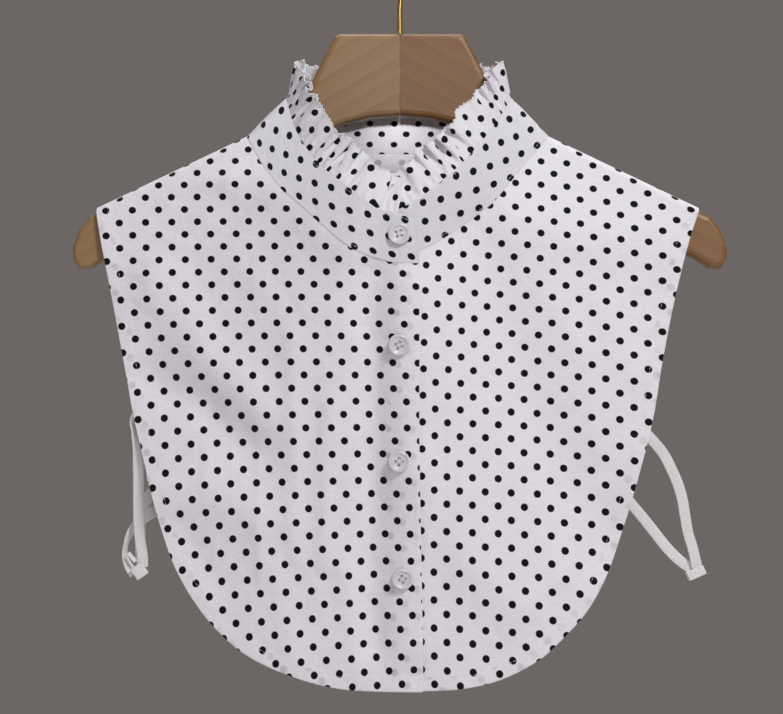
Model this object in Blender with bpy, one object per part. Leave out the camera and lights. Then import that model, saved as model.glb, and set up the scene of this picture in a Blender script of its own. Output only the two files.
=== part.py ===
"""Dotted cotton dickey with a ruffled stand collar, buttoned down the front, on a flat wooden hanger.

Lengths are metres, and the short tables give millimetres. +X is the wearer's left, -Y is the front and +Z is up.
The origin is the inside top of the hook, where the hanger rests on a rod.
"""

import math

import bmesh
import bpy
from mathutils import Matrix, Vector

MM = 0.001

# Cloth and seams
CLOTH = 1.0 * MM
SEAM_GAP = 0.9 * MM
LAYER_GAP = 0.35 * MM
SEWN_GAP = 0.9 * MM

# Where the cloth hangs on the hanger
CLOTH_SHIFT = -1.2 * MM
NECK_POINT = (89.5 * MM, -140.5 * MM)
SHOULDER_TIP = (179.0 * MM, -183.3 * MM)
SHOULDER_HALF_GAP = 0.25 * MM
RIDGE_DEPTH = 8.4 * MM
RIDGE_DROP = 5.0 * MM

# How far the front and back stand off the hanger
FRONT_SWELL = 45.6 * MM
FRONT_SWELL_WIDTH = 121 * MM
FRONT_SWELL_DROP = 45 * MM
BACK_SWELL = 34.5 * MM
BACK_SWELL_WIDTH = 160 * MM
BACK_SWELL_DROP = 12 * MM

# Button stand
PLACKET_LEFT = -7.1 * MM
PLACKET_RIGHT_TOP = 11.6 * MM
PLACKET_RIGHT_HEM = 14.1 * MM
PLACKET_TOP = -217.9 * MM
PLACKET_HEM = -468.6 * MM
PLACKET_THICK = 1.6 * MM
PLACKET_PROUD = 0.6 * MM
RIGHT_FRONT_EDGE = -7.5 * MM
LEFT_FRONT_EDGE = -5.5 * MM
UNDER_LAYER = 1.6 * MM

# Collar ruffle
RUFFLE_HEIGHT = 21.5 * MM
RUFFLE_LEAN = math.radians(17)
RUFFLE_WAVES = 34
POINTS_PER_WAVE = 8
RUFFLE_SWING = 3.1 * MM

# Buttons
BUTTON_RADIUS = 6.4 * MM
BUTTON_THICK = 3.0 * MM
BUTTON_RIM = 1.5 * MM
BUTTON_DISH = 1.0 * MM
BUTTON_HOLE_RADIUS = 0.85 * MM
BUTTON_HOLE_OFFSET = 1.35 * MM
BUTTON_SIDES = 24

# Elastic
ELASTIC_WIDTH = 6.4 * MM
ELASTIC_THICK = 1.0 * MM
ELASTIC_TAIL_WIDTH = 2.6 * MM
KNOT_THICK = 2.6 * MM

# Hanger
WOOD_THICK = 11 * MM
WOOD_ROUND = 3.5 * MM
WOOD_BELOW_CLOTH = 3.2 * MM
WOOD_TOP = -80 * MM
WOOD_JOINT_GAP = 0.3 * MM
HOOK_WIRE = 3.2 * MM
HOOK_INNER_RADIUS = 19 * MM
HOOK_SEAT = 0.3 * MM

FRONT_ROWS = (0, 0.006, 0.018, 0.036, 0.07, 0.12, 0.18, 0.24, 0.31, 0.38, 0.45, 0.52, 0.59, 0.66, 0.73, 0.80,
              0.87, 0.935, 1)
BACK_ROWS = (0, 0.006, 0.018, 0.04, 0.09, 0.16, 0.25, 0.35, 0.45, 0.55, 0.65, 0.75, 0.85, 0.93, 1)

# Neck seam and collar top, from the overlapping end at centre front to the wearer's right shoulder
# columns: seam x, seam z, top x, top y, top z
COLLAR_RIGHT = (
    (11.6, -218.2, 11.6, -48.2, -199.9),
    (9.8, -218.2, 10.2, -48.1, -196.0),
    (5.5, -218.3, 6.0, -48.0, -192.6),
    (-0.1, -218.1, -0.1, -47.7, -190.1),
    (-14.9, -214.4, -10.8, -46.5, -188.2),
    (-28.7, -208.0, -19.0, -45.0, -182.0),
    (-40.5, -198.3, -29.5, -41.5, -173.8),
    (-56.2, -183.9, -42.0, -35.0, -164.0),
    (-67.0, -174.2, -50.5, -27.5, -154.5),
    (-79.5, -158.1, -60.2, -15.0, -138.5),
    (-89.5, -140.5, -66.9, 2.0, -117.5),
)

# Collar across the back, from the wearer's right shoulder to the left one; same columns
COLLAR_BACK = (
    (-89.5, -140.5, -66.9, 2.0, -117.5),
    (-82.0, -142.2, -62.5, 15.5, -115.9),
    (-60.0, -145.4, -46.4, 30.0, -116.6),
    (-29.5, -146.8, -24.0, 38.0, -117.4),
    (0.0, -147.0, 0.0, 40.0, -117.5),
    (29.5, -146.8, 24.0, 38.0, -117.4),
    (60.0, -145.4, 46.6, 30.0, -116.6),
    (82.0, -142.2, 63.5, 15.5, -115.9),
    (89.5, -140.5, 67.7, 2.0, -117.5),
)

# Neck seam and collar top from the wearer's left shoulder to the end that lies under the buttons; same columns
COLLAR_LEFT = (
    (89.5, -140.5, 67.7, 2.0, -117.5),
    (76.0, -156.3, 59.0, -15.0, -132.5),
    (64.8, -170.0, 49.5, -27.0, -145.8),
    (53.8, -183.0, 38.8, -35.5, -158.3),
    (43.0, -191.5, 29.5, -40.0, -167.2),
    (27.3, -202.4, 17.5, -43.3, -177.3),
    (14.7, -209.6, 7.5, -44.7, -184.0),
    (3.0, -214.0, 0.5, -45.2, -187.6),
    (-5.5, -216.2, -5.0, -45.4, -189.0),
)

# Armhole and hem edge of each front, from the shoulder tip; columns: height z, wearer's right x, wearer's left x
FRONT_ARMHOLE = (
    (-183.3, 179.0, 179.0),
    (-203.1, 175.6, 172.0),
    (-238.7, 168.4, 162.9),
    (-274.2, 161.8, 155.9),
    (-309.6, 155.3, 150.0),
    (-345.0, 146.6, 141.2),
)
FRONT_HEM = (
    (-345.0, 146.6, 141.2),
    (-374.6, 139.0, 132.9),
    (-398.1, 130.4, 124.5),
    (-421.5, 116.1, 111.4),
    (-439.1, 99.9, 95.4),
    (-450.7, 83.0, 81.8),
    (-462.1, 53.8, 58.0),
    (-467.0, 28.0, 32.0),
    (-468.0, 7.5, -5.5),
)

# Armhole and hem edge of the back; columns: height z, half width
BACK_ARMHOLE = ((-183.3, 179.0), (-205.0, 172.0), (-245.0, 161.0), (-285.0, 152.0), (-325.0, 142.0))
BACK_HEM = ((-325.0, 142.0), (-360.0, 131.0), (-392.0, 112.0), (-415.0, 87.0), (-429.0, 56.0), (-435.5, 26.0),
            (-437.0, 0.0))

# Largest soft folds; columns: start x, start z, end x, end z, half width, height towards the front
FRONT_FOLDS = (
    (-152, -193, -100, -250, 13, 2.0),
    (-148, -238, -90, -314, 14, -2.4),
    (-150, -288, -84, -366, 13, 2.6),
    (-68, -265, -60, -410, 12, 1.7),
    (-40, -330, -36, -430, 9, 1.3),
    (62, -206, 92, -286, 13, -2.3),
    (92, -286, 136, -322, 13, -2.3),
    (46, -226, 74, -345, 21, 2.8),
    (74, -345, 100, -425, 20, 2.8),
    (28, -380, 62, -440, 17, -2.2),
)
BACK_FOLDS = (
    (-140, -210, -80, -300, 15, 2.4),
    (130, -215, 70, -320, 15, 2.6),
    (-60, -260, -50, -400, 14, -2.0),
    (22, -200, 34, -410, 16, 2.0),
)

# Places of the buttons; columns: x, z
BUTTON_PLACES = ((0.5, -202.1), (0.5, -265.5), (0.6, -332.4), (2.6, -400.6))

# Elastic straps; columns: x, y, z, turn from flat in degrees
# the first two rows of a strap are sewn to a panel, which gives their y
STRAP_RIGHT_FRONT = (
    (-146.5, -10.6, -298.0, 0), (-152.0, -11.2, -304.0, 0), (-156.2, -9.2, -310.5, 50),
    (-155.6, -9.2, -316.0, 58), (-154.0, -9.2, -324.0, 12), (-153.8, -8.4, -339.0, 0),
    (-154.0, -6.6, -355.0, 0), (-154.2, -4.6, -367.5, 0), (-154.0, -3.0, -375.5, 0),
    (-153.4, -1.6, -383.0, 4), (-152.4, -0.5, -391.0, 8), (-152.4, 0.0, -397.6, 8),
)
STRAP_RIGHT_BACK = (
    (-128.0, 8.4, -336.0, 0), (-136.0, 8.4, -342.0, 0), (-144.2, 8.2, -349.5, 0), (-149.8, 8.0, -356.0, 0),
    (-153.6, 7.8, -363.5, 0), (-154.6, 7.6, -372.0, 0), (-154.8, 6.8, -381.0, 4), (-154.2, 4.8, -389.5, 6),
    (-153.6, 3.6, -396.5, 6),
)
STRAP_RIGHT_SIDE = (
    (-122.0, 8.3, -352.0, 0), (-132.0, 7.9, -356.8, 0), (-142.0, 6.4, -362.4, 0), (-148.8, 4.8, -366.6, 0),
    (-154.8, 3.8, -371.2, 12), (-159.8, 3.4, -377.2, 50), (-162.6, 3.0, -384.0, 74), (-163.4, 2.6, -391.0, 72),
    (-161.0, 2.4, -397.6, 50), (-157.4, 2.0, -402.2, 14),
)
STRAP_RIGHT_TAIL = ((-160.6, -2.6, -389.0, 40), (-158.4, -2.6, -391.8, 30), (-156.2, -2.5, -394.2, 16))
STRAP_LEFT_FRONT = (
    (143.0, -10.9, -314.5, 0), (148.8, -10.7, -320.2, 0), (157.0, -9.8, -329.6, 0), (161.8, -8.6, -338.4, 0),
    (165.8, -7.4, -347.2, 0), (168.8, -6.2, -356.8, 0), (170.7, -4.8, -367.0, 4), (172.8, -3.2, -377.2, 8),
    (175.6, -1.6, -386.0, 8), (177.7, -0.5, -394.0, 6), (178.8, 0.0, -400.0, 0),
)
STRAP_LEFT_BACK = (
    (124.0, 8.4, -341.0, 0), (131.4, 8.2, -349.6, 0), (139.4, 7.6, -359.6, 0), (147.4, 6.6, -369.2, 0),
    (154.6, 5.2, -378.4, 0), (161.4, 3.6, -387.0, 0), (168.4, 2.2, -394.0, 0), (176.0, 1.4, -399.4, 0),
)


def smooth_rows(rows, count):
    """Evenly spaced rows on a smooth curve through the given ones, whatever their number of columns."""
    last = len(rows) - 1
    knots = [0.0]
    for before, after in zip(rows, rows[1:]):
        knots.append(knots[-1] + math.dist(before, after))
    slopes = []
    for index in range(last + 1):
        low = max(index - 1, 0)
        high = min(index + 1, last)
        span = knots[high] - knots[low]
        slopes.append([(b - a) / span for a, b in zip(rows[low], rows[high])])
    result = []
    piece = 0
    for step in range(count):
        place = knots[-1] * step / (count - 1)
        while piece < last - 1 and place > knots[piece + 1]:
            piece += 1
        span = knots[piece + 1] - knots[piece]
        t = (place - knots[piece]) / span
        start_weight = (1 + 2 * t) * (1 - t) ** 2
        start_slope = t * (1 - t) ** 2 * span
        end_weight = t * t * (3 - 2 * t)
        end_slope = t * t * (t - 1) * span
        columns = zip(rows[piece], slopes[piece], rows[piece + 1], slopes[piece + 1])
        result.append([a * start_weight + sa * start_slope + b * end_weight + sb * end_slope
                       for a, sa, b, sb in columns])
    return result


def along(rows, fractions):
    """Points of a smooth curve at the given fractions of its length."""
    steps = 400
    dense = smooth_rows(rows, steps + 1)
    return [dense[round(fraction * steps)] for fraction in fractions]


def in_metres(rows):
    return [[value * MM for value in row] for row in rows]


def fade(value, low, high):
    """A soft step from 0 at low to 1 at high."""
    t = min(max((value - low) / (high - low), 0.0), 1.0)
    return t * t * (3 - 2 * t)


def fold_height(folds, x, z):
    total = 0.0
    for x0, z0, x1, z1, half_width, height in folds:
        run_x = (x1 - x0) * MM
        run_z = (z1 - z0) * MM
        to_x = x - x0 * MM
        to_z = z - z0 * MM
        t = min(max((to_x * run_x + to_z * run_z) / (run_x ** 2 + run_z ** 2), 0.0), 1.0)
        gap = math.hypot(to_x - t * run_x, to_z - t * run_z)
        total += height * MM * math.exp(-(gap / (half_width * MM)) ** 2)
    return total


SHOULDER_SLOPE = math.atan2(NECK_POINT[1] - SHOULDER_TIP[1], SHOULDER_TIP[0] - NECK_POINT[0])


def shoulder_line(x):
    return NECK_POINT[1] - (abs(x) - NECK_POINT[0]) * math.tan(SHOULDER_SLOPE)


def below_shoulder(x, z):
    return max((shoulder_line(x) - z) * math.cos(SHOULDER_SLOPE), 0.0)


def ridge(drop):
    """How far the cloth has come over the shoulder ridge at a distance below it."""
    t = min(drop / RIDGE_DROP, 1.0)
    return RIDGE_DEPTH * math.sqrt(1 - (1 - t) ** 2)


def front_depth(x, z):
    """Depth of the outer face of the front, which falls back towards the hem."""
    drop = below_shoulder(x, z)
    swell = FRONT_SWELL * (1 - math.exp(-drop / FRONT_SWELL_DROP)) * math.exp(-(x / FRONT_SWELL_WIDTH) ** 2)
    down = min(max((-0.200 - z) / 0.270, 0.0), 1.0)
    swell *= 1 - 0.68 * down
    folds = fold_height(FRONT_FOLDS, x, z) * fade(drop, 0.004, 0.030)
    return -(SHOULDER_HALF_GAP + ridge(drop) + swell + folds)


def back_depth(x, z):
    """Depth of the outer face of the back, which hangs nearly flat below the shoulders."""
    drop = below_shoulder(x, z)
    swell = BACK_SWELL * (1 - math.exp(-drop / BACK_SWELL_DROP)) * math.exp(-(x / BACK_SWELL_WIDTH) ** 2)
    swell *= 1 - 0.92 * fade(-z, 0.135, 0.290)
    folds = fold_height(BACK_FOLDS, x, z) * fade(drop, 0.004, 0.030)
    return SHOULDER_HALF_GAP + ridge(drop) + swell + folds


def under_layer(x):
    """How much deeper the left front lies where the placket covers it."""
    return UNDER_LAYER * (1 - fade(x, 0.020, 0.040))


def over_layer(x):
    """How far the right end of the collar stands proud over the left end."""
    return 0.5 * MM * fade(x, -0.020, -0.008)


def material(name, colour, roughness, metallic=0.0):
    made = bpy.data.materials.new(name)
    made.use_nodes = True
    shader = made.node_tree.nodes["Principled BSDF"]
    shader.inputs["Base Color"].default_value = (*colour, 1)
    shader.inputs["Roughness"].default_value = roughness
    shader.inputs["Metallic"].default_value = metallic
    return made


DOTTED_COTTON = ("dotted cotton", (0.80, 0.79, 0.83), 0.85)
WOVEN_ELASTIC = ("woven elastic", (0.83, 0.83, 0.82), 0.80)
CLEAR_PLASTIC = ("milky plastic", (0.78, 0.77, 0.78), 0.25)
BEECH = ("pale beech", (0.47, 0.33, 0.20), 0.50)
BRASS = ("brass wire", (0.76, 0.58, 0.28), 0.30, 1.0)


def add_object(name, mesh, finish):
    mesh.materials.append(material(f"{finish[0]} {name}", *finish[1:]))
    made = bpy.data.objects.new(name, mesh)
    bpy.context.scene.collection.objects.link(made)
    return made


def mesh_object(name, points, faces, finish, smooth=40):
    mesh = bpy.data.meshes.new(name)
    mesh.from_pydata([tuple(p) for p in points], [], faces)
    mesh.shade_smooth()
    mesh.set_sharp_from_angle(angle=math.radians(smooth))
    return add_object(name, mesh, finish)


def wall(name, grid, thickness, finish, forced=None, centred=False):
    """A closed wall on a grid of points whose columns run towards -X on the front and whose rows run down.

    The grid is the outer face, or the middle where centred is set. forced gives the direction at some points.
    """
    rows = len(grid)
    columns = len(grid[0])
    outer = []
    inner = []
    for r in range(rows):
        for c in range(columns):
            across = grid[r][min(c + 1, columns - 1)] - grid[r][max(c - 1, 0)]
            down = grid[min(r + 1, rows - 1)][c] - grid[max(r - 1, 0)][c]
            out = across.cross(down).normalized()
            if forced and (r, c) in forced:
                out = forced[r, c]
            outside = grid[r][c] + out * thickness / 2 if centred else grid[r][c]
            outer.append(outside)
            inner.append(outside - out * thickness)
    total = rows * columns
    faces = []
    for r in range(rows - 1):
        for c in range(columns - 1):
            a = r * columns + c
            b = a + 1
            d = a + columns
            faces.append((a, b, d + 1, d))
            faces.append((total + a, total + d, total + d + 1, total + b))
    edge = [(c, c + 1) for c in range(columns - 1)]
    edge += [(r * columns + columns - 1, (r + 1) * columns + columns - 1) for r in range(rows - 1)]
    edge += [((rows - 1) * columns + c + 1, (rows - 1) * columns + c) for c in reversed(range(columns - 1))]
    edge += [((r + 1) * columns, r * columns) for r in reversed(range(rows - 1))]
    faces += [(q, p, total + p, total + q) for p, q in edge]
    shift = Vector((CLOTH_SHIFT, 0, 0))
    return mesh_object(name, [p + shift for p in outer + inner], faces, finish)


def fill_edges(top, bottom, start, end, fractions):
    """Rows of flat points (x, z) that fill four edges, where start and end run down at the given fractions."""
    last = len(top) - 1
    grid = []
    for r, v in enumerate(fractions):
        row = []
        for c in range(last + 1):
            u = c / last
            point = []
            for k in range(2):
                ruled = (1 - v) * top[c][k] + v * bottom[c][k] + (1 - u) * start[r][k] + u * end[r][k]
                corners = (1 - u) * (1 - v) * top[0][k] + u * (1 - v) * top[last][k]
                corners += (1 - u) * v * bottom[0][k] + u * v * bottom[last][k]
                point.append(ruled - corners)
            row.append(point)
        grid.append(row)
    return grid


def shoulder_normals(columns, side):
    """Straight up from the shoulder line, so that front and back meet edge to edge along it."""
    up = Vector((side * math.sin(SHOULDER_SLOPE), 0, math.cos(SHOULDER_SLOPE)))
    return {(0, c): up for c in columns}


NECK_FRACTIONS = (0, 0.13, 0.26, 0.39, 0.52, 0.64, 0.75, 0.85, 0.93, 0.97, 1)
BACK_NECK_FRACTIONS = (0, 0.15, 0.30, 0.45, 0.60, 0.74, 0.86, 0.94, 1)
SHOULDER_STEPS = 8


def shoulder_points(side):
    near = (side * NECK_POINT[0], NECK_POINT[1])
    far = (side * SHOULDER_TIP[0], SHOULDER_TIP[1])
    steps = range(1, SHOULDER_STEPS + 1)
    return [[a + (b - a) * k / SHOULDER_STEPS for a, b in zip(near, far)] for k in steps]


def edge_columns(rows, column, side):
    return [(side * row[column] * MM, row[0] * MM) for row in rows]


def front_panel(name, side):
    """One front: neck seam and shoulder above, button edge at the middle, armhole and hem round the outside."""
    if side < 0:
        neck_rows = [row[:2] for row in COLLAR_RIGHT if row[0] <= -0.1]
        neck_rows[0] = (RIGHT_FRONT_EDGE / MM, -216.9)
        column = 1
        edge_x = RIGHT_FRONT_EDGE
    else:
        neck_rows = [row[:2] for row in reversed(COLLAR_LEFT)]
        column = 2
        edge_x = LEFT_FRONT_EDGE
    top = along(in_metres(neck_rows), NECK_FRACTIONS) + shoulder_points(side)
    hem = edge_columns(FRONT_HEM, column, side)
    hem[-1] = (edge_x, hem[-1][1])
    bottom = smooth_rows(hem[::-1], len(top))
    armhole = along(edge_columns(FRONT_ARMHOLE, column, side), FRONT_ROWS)
    middle = [(edge_x, top[0][1] + (bottom[0][1] - top[0][1]) * v) for v in FRONT_ROWS]
    flat = fill_edges(top, bottom, middle, armhole, FRONT_ROWS)
    forced = shoulder_normals(range(len(NECK_FRACTIONS) - 1, len(top)), side)
    grid = []
    for row in flat:
        points = []
        for x, z in row:
            deeper = under_layer(x) if side > 0 else 0.0
            points.append(Vector((x, front_depth(x, z) + deeper, z)))
        grid.append(points)
    if side > 0:
        grid = [row[::-1] for row in grid]
        forced = {(r, len(top) - 1 - c): out for (r, c), out in forced.items()}
    return wall(name, grid, CLOTH, DOTTED_COTTON, forced)


def back_panel():
    half_neck = [row[:2] for row in COLLAR_BACK if row[0] >= 0]
    top = along(in_metres(half_neck), BACK_NECK_FRACTIONS) + shoulder_points(1)
    bottom = smooth_rows(edge_columns(BACK_HEM, 1, 1)[::-1], len(top))
    armhole = along(edge_columns(BACK_ARMHOLE, 1, 1), BACK_ROWS)
    middle = [(0.0, top[0][1] + (bottom[0][1] - top[0][1]) * v) for v in BACK_ROWS]
    half = fill_edges(top, bottom, middle, armhole, BACK_ROWS)
    grid = []
    for row in half:
        both = [(-x, z) for x, z in row[:0:-1]] + [tuple(p) for p in row]
        grid.append([Vector((x, back_depth(x, z), z)) for x, z in both])
    count = len(grid[0])
    forced = shoulder_normals(range(0, SHOULDER_STEPS + 1), -1)
    forced.update(shoulder_normals(range(count - SHOULDER_STEPS - 1, count), 1))
    return wall("back_panel", grid, CLOTH, DOTTED_COTTON, forced)


def collar_stations():
    """Seam and top points of the collar from its overlapping end, round the back, to its under end."""
    stations = []
    parts = ((COLLAR_RIGHT, 22, -1), (COLLAR_BACK, 28, 1), (COLLAR_LEFT, 21, 0))
    for table, count, place in parts:
        rows = smooth_rows(in_metres(table), count)
        for x, z, top_x, top_y, top_z in rows[1 if stations else 0:]:
            if place > 0:
                depth = back_depth(x, z) if below_shoulder(x, z) > 1e-5 else 0.0
            else:
                depth = front_depth(x, z) if below_shoulder(x, z) > 1e-5 else 0.0
                depth += under_layer(x) if place == 0 else -over_layer(x)
            stations.append((Vector((x, depth, z)), Vector((top_x, top_y, top_z))))
    return stations


COLLAR = collar_stations()


def collar_stand():
    levels = (0.0, 0.5, 1.0)
    bow = 0.6 * MM
    grid = [[], [], []]
    for seam, top in COLLAR:
        rise = (top - seam).normalized()
        foot = seam + rise * SEAM_GAP
        outward = Vector((seam.x, seam.y, 0)).normalized()
        for row, level in zip(grid, reversed(levels)):
            row.append(foot.lerp(top, level) + outward * bow * math.sin(math.pi * level))
    return wall("collar_stand", grid, CLOTH, DOTTED_COTTON)


def ruffle():
    """The gathered frill: waves that grow from the seam to the free edge, uneven in depth and height."""
    first = next(i for i, (seam, top) in enumerate(COLLAR) if top.x < -0.4 * MM)
    tops = [tuple(top) for seam, top in COLLAR[first:-1]]
    count = RUFFLE_WAVES * POINTS_PER_WAVE + 1
    line = [Vector(p) for p in smooth_rows(tops, count)]
    middle = Vector((0, -4 * MM, 0))
    levels = (0.035, 0.35, 0.68, 1.0)
    grid = [[] for _ in levels]
    for i, foot in enumerate(line):
        u = i / (count - 1)
        tangent = (line[min(i + 1, count - 1)] - line[max(i - 1, 0)]).normalized()
        inward = Vector((middle.x - foot.x, middle.y - foot.y, 0)).normalized()
        rise = Vector((0, 0, math.cos(RUFFLE_LEAN))) + inward * math.sin(RUFFLE_LEAN)
        rise = (rise - tangent * rise.dot(tangent)).normalized()
        out = tangent.cross(-rise).normalized()
        wave = i / POINTS_PER_WAVE
        uneven = 1 + 0.22 * math.sin(2.4 * wave + 0.7) + 0.15 * math.sin(5.1 * wave)
        swing = RUFFLE_SWING * uneven * math.sin(2 * math.pi * wave + 0.5 * math.sin(1.7 * wave))
        tall = RUFFLE_HEIGHT * (1 + 0.05 * math.sin(3.3 * wave) + 0.03 * math.sin(7.9 * wave))
        for row, level in zip(grid, reversed(levels)):
            row.append(foot + rise * tall * level + out * swing * level ** 1.2)
    return wall("collar_ruffle", grid, CLOTH, DOTTED_COTTON, centred=True)


def placket():
    rows = 22
    columns = 5
    grid = []
    for r in range(rows):
        v = r / (rows - 1)
        z = PLACKET_TOP + (PLACKET_HEM - PLACKET_TOP) * v
        right = PLACKET_RIGHT_TOP + (PLACKET_RIGHT_HEM - PLACKET_RIGHT_TOP) * fade(v, 0, 1)
        line = []
        for c in range(columns):
            x = right + (PLACKET_LEFT - right) * c / (columns - 1)
            line.append(Vector((x, front_depth(x, z) - PLACKET_PROUD, z)))
        grid.append(line)
    return wall("placket", grid, PLACKET_THICK, DOTTED_COTTON)


def button_mesh():
    """A dished button with a raised rim, turned round its axis, which is Z with the face at the top."""
    shape = bmesh.new()
    profile = ((0.78, 0.0), (0.97, 0.22), (1.0, 0.55), (0.93, 0.92), (0.84, 1.0), (0.74, 0.90))
    points = [(reach * BUTTON_RADIUS, height * BUTTON_THICK) for reach, height in profile]
    points.append((BUTTON_RADIUS - 1.5 * BUTTON_RIM, BUTTON_THICK - BUTTON_DISH))
    rings = []
    for radius, height in points:
        ring = []
        for k in range(BUTTON_SIDES):
            angle = 2 * math.pi * k / BUTTON_SIDES
            ring.append(shape.verts.new((radius * math.cos(angle), radius * math.sin(angle), height)))
        rings.append(ring)
    shape.faces.new(rings[0][::-1])
    for low, high in zip(rings, rings[1:]):
        for k in range(BUTTON_SIDES):
            after = (k + 1) % BUTTON_SIDES
            shape.faces.new((low[k], low[after], high[after], high[k]))
    shape.faces.new(rings[-1])
    mesh = bpy.data.meshes.new("button")
    shape.to_mesh(mesh)
    shape.free()
    return mesh


def hole_cutter():
    """Four short rods that cut the thread holes."""
    shape = bmesh.new()
    for k in range(4):
        angle = math.pi / 4 + k * math.pi / 2
        reach = BUTTON_HOLE_OFFSET * math.sqrt(2)
        place = Matrix.Translation((reach * math.cos(angle), reach * math.sin(angle), BUTTON_THICK / 2))
        bmesh.ops.create_cone(shape, cap_ends=True, segments=8, radius1=BUTTON_HOLE_RADIUS,
                              radius2=BUTTON_HOLE_RADIUS, depth=3 * BUTTON_THICK, matrix=place)
    mesh = bpy.data.meshes.new("thread holes")
    shape.to_mesh(mesh)
    shape.free()
    return mesh


def collar_face_depth(x, z):
    """Depth and backward slope of the overlapping end of the collar at a button's place."""
    seam, top = min(COLLAR[:12], key=lambda pair: abs(pair[0].x - x))
    t = (z - seam.z) / (top.z - seam.z)
    return seam.y + (top.y - seam.y) * t, (top.y - seam.y) / (top.z - seam.z)


def buttons():
    mesh = button_mesh()
    cutter_mesh = hole_cutter()
    for index, (x_mm, z_mm) in enumerate(BUTTON_PLACES):
        x = x_mm * MM
        z = z_mm * MM
        if index == 0:
            depth, slope = collar_face_depth(x, z)
            depth -= 0.6 * MM
        else:
            step = 4 * MM
            depth = front_depth(x, z) - PLACKET_PROUD
            slope = (front_depth(x, z + step) - front_depth(x, z - step)) / (2 * step)
        place = Matrix.Translation((x + CLOTH_SHIFT, depth - LAYER_GAP, z))
        turn = Matrix.Rotation(math.radians(90) - math.atan(slope), 4, "X")
        name = f"button_{index + 1}"
        made = add_object(name, mesh.copy(), CLEAR_PLASTIC)
        made.data.shade_smooth()
        made.data.set_sharp_from_angle(angle=math.radians(50))
        made.matrix_world = place @ turn
        cutter = bpy.data.objects.new(f"{name} cutter", cutter_mesh)
        bpy.context.scene.collection.objects.link(cutter)
        cutter.matrix_world = place @ turn
        cutter.hide_render = True
        cutter.display_type = "WIRE"
        cut = made.modifiers.new("thread holes", "BOOLEAN")
        cut.operation = "DIFFERENCE"
        cut.solver = "EXACT"
        cut.object = cutter


def sewn_depth(panel, x, z):
    """Depth of the middle of an elastic that lies inside the front or the back panel."""
    inset = CLOTH + SEWN_GAP + ELASTIC_THICK / 2
    return back_depth(x, z) - inset if panel == "back" else front_depth(x, z) + inset


def strap(name, table, count, panel=None, width=ELASTIC_WIDTH):
    """A flat woven elastic along a smooth path, turned about it by the table's last column."""
    table = [list(row) for row in table]
    for row in table[:2] if panel else ():
        row[1] = sewn_depth(panel, row[0] * MM, row[2] * MM) / MM
    rows = smooth_rows([[row[0] * MM, row[1] * MM, row[2] * MM, math.radians(row[3]) * MM * 10] for row in table],
                       count)
    path = [Vector(row[:3]) for row in rows]
    grid = [[], []]
    forced = {}
    for i, here in enumerate(path):
        tangent = (path[min(i + 1, count - 1)] - path[max(i - 1, 0)]).normalized()
        front = Vector((0, -1, 0))
        front = (front - tangent * front.dot(tangent)).normalized()
        side = tangent.cross(front).normalized()
        turn = rows[i][3] / (MM * 10)
        across = side * math.cos(turn) + front * math.sin(turn)
        facing = front * math.cos(turn) - side * math.sin(turn)
        grid[0].append(here + across * width / 2)
        grid[1].append(here - across * width / 2)
        forced[0, i] = facing
        forced[1, i] = facing
    across = (grid[0][1] - grid[0][0]).cross(grid[1][0] - grid[0][0])
    if across.dot(forced[0, 0]) < 0:
        grid = grid[::-1]
    return wall(name, grid, ELASTIC_THICK, WOVEN_ELASTIC, forced, centred=True)


def knot(name, centre_mm, half_length, half_height, tilt):
    """The folded and stitched end that holds the strands of a strap together."""
    shape = bmesh.new()
    bmesh.ops.create_cube(shape, size=1)
    bmesh.ops.scale(shape, vec=(2 * half_length, KNOT_THICK, 2 * half_height), verts=shape.verts)
    bmesh.ops.bevel(shape, geom=shape.edges[:], offset=0.8 * MM, segments=2, affect="EDGES", profile=0.5)
    bmesh.ops.rotate(shape, cent=(0, 0, 0), matrix=Matrix.Rotation(-tilt, 3, "Y"), verts=shape.verts)
    x, y, z = [value * MM for value in centre_mm]
    bmesh.ops.translate(shape, vec=(x + CLOTH_SHIFT, y, z), verts=shape.verts)
    mesh = bpy.data.meshes.new(name)
    shape.to_mesh(mesh)
    shape.free()
    mesh.shade_smooth()
    mesh.set_sharp_from_angle(angle=math.radians(50))
    return add_object(name, mesh, WOVEN_ELASTIC)


def arm_top(x):
    """Height of the upper edge of a hanger arm, just under the cloth of the shoulder."""
    return shoulder_line(x) - WOOD_BELOW_CLOTH


def hanger_outline():
    """Half of the hanger's outline from the top of the joint, over the arm and back under it."""
    top = WOOD_TOP / MM
    neck = [(0.0, top), (36.0, top), (38.6, -81.3), (40.2, -84.0), (45.0, -93.0), (52.0, -107.5), (57.5, -118.0),
            (65.0, -127.5)]
    arm = [(x, arm_top(x * MM) / MM) for x in (76.0, 100.0, 130.0, 160.0, 176.0)]
    tip = [(184.5, -188.5), (191.0, -196.5), (194.8, -206.5), (194.6, -214.5), (190.6, -220.0), (184.0, -219.5)]
    under = [(175.5, -214.0), (150.0, -202.0), (120.0, -187.6), (92.0, -173.2), (74.0, -161.0), (60.0, -149.6),
             (48.0, -141.0), (34.0, -134.2), (18.0, -130.2), (0.0, -128.8)]
    return [(x * MM, z * MM) for x, z in neck + arm + tip + under]


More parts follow.
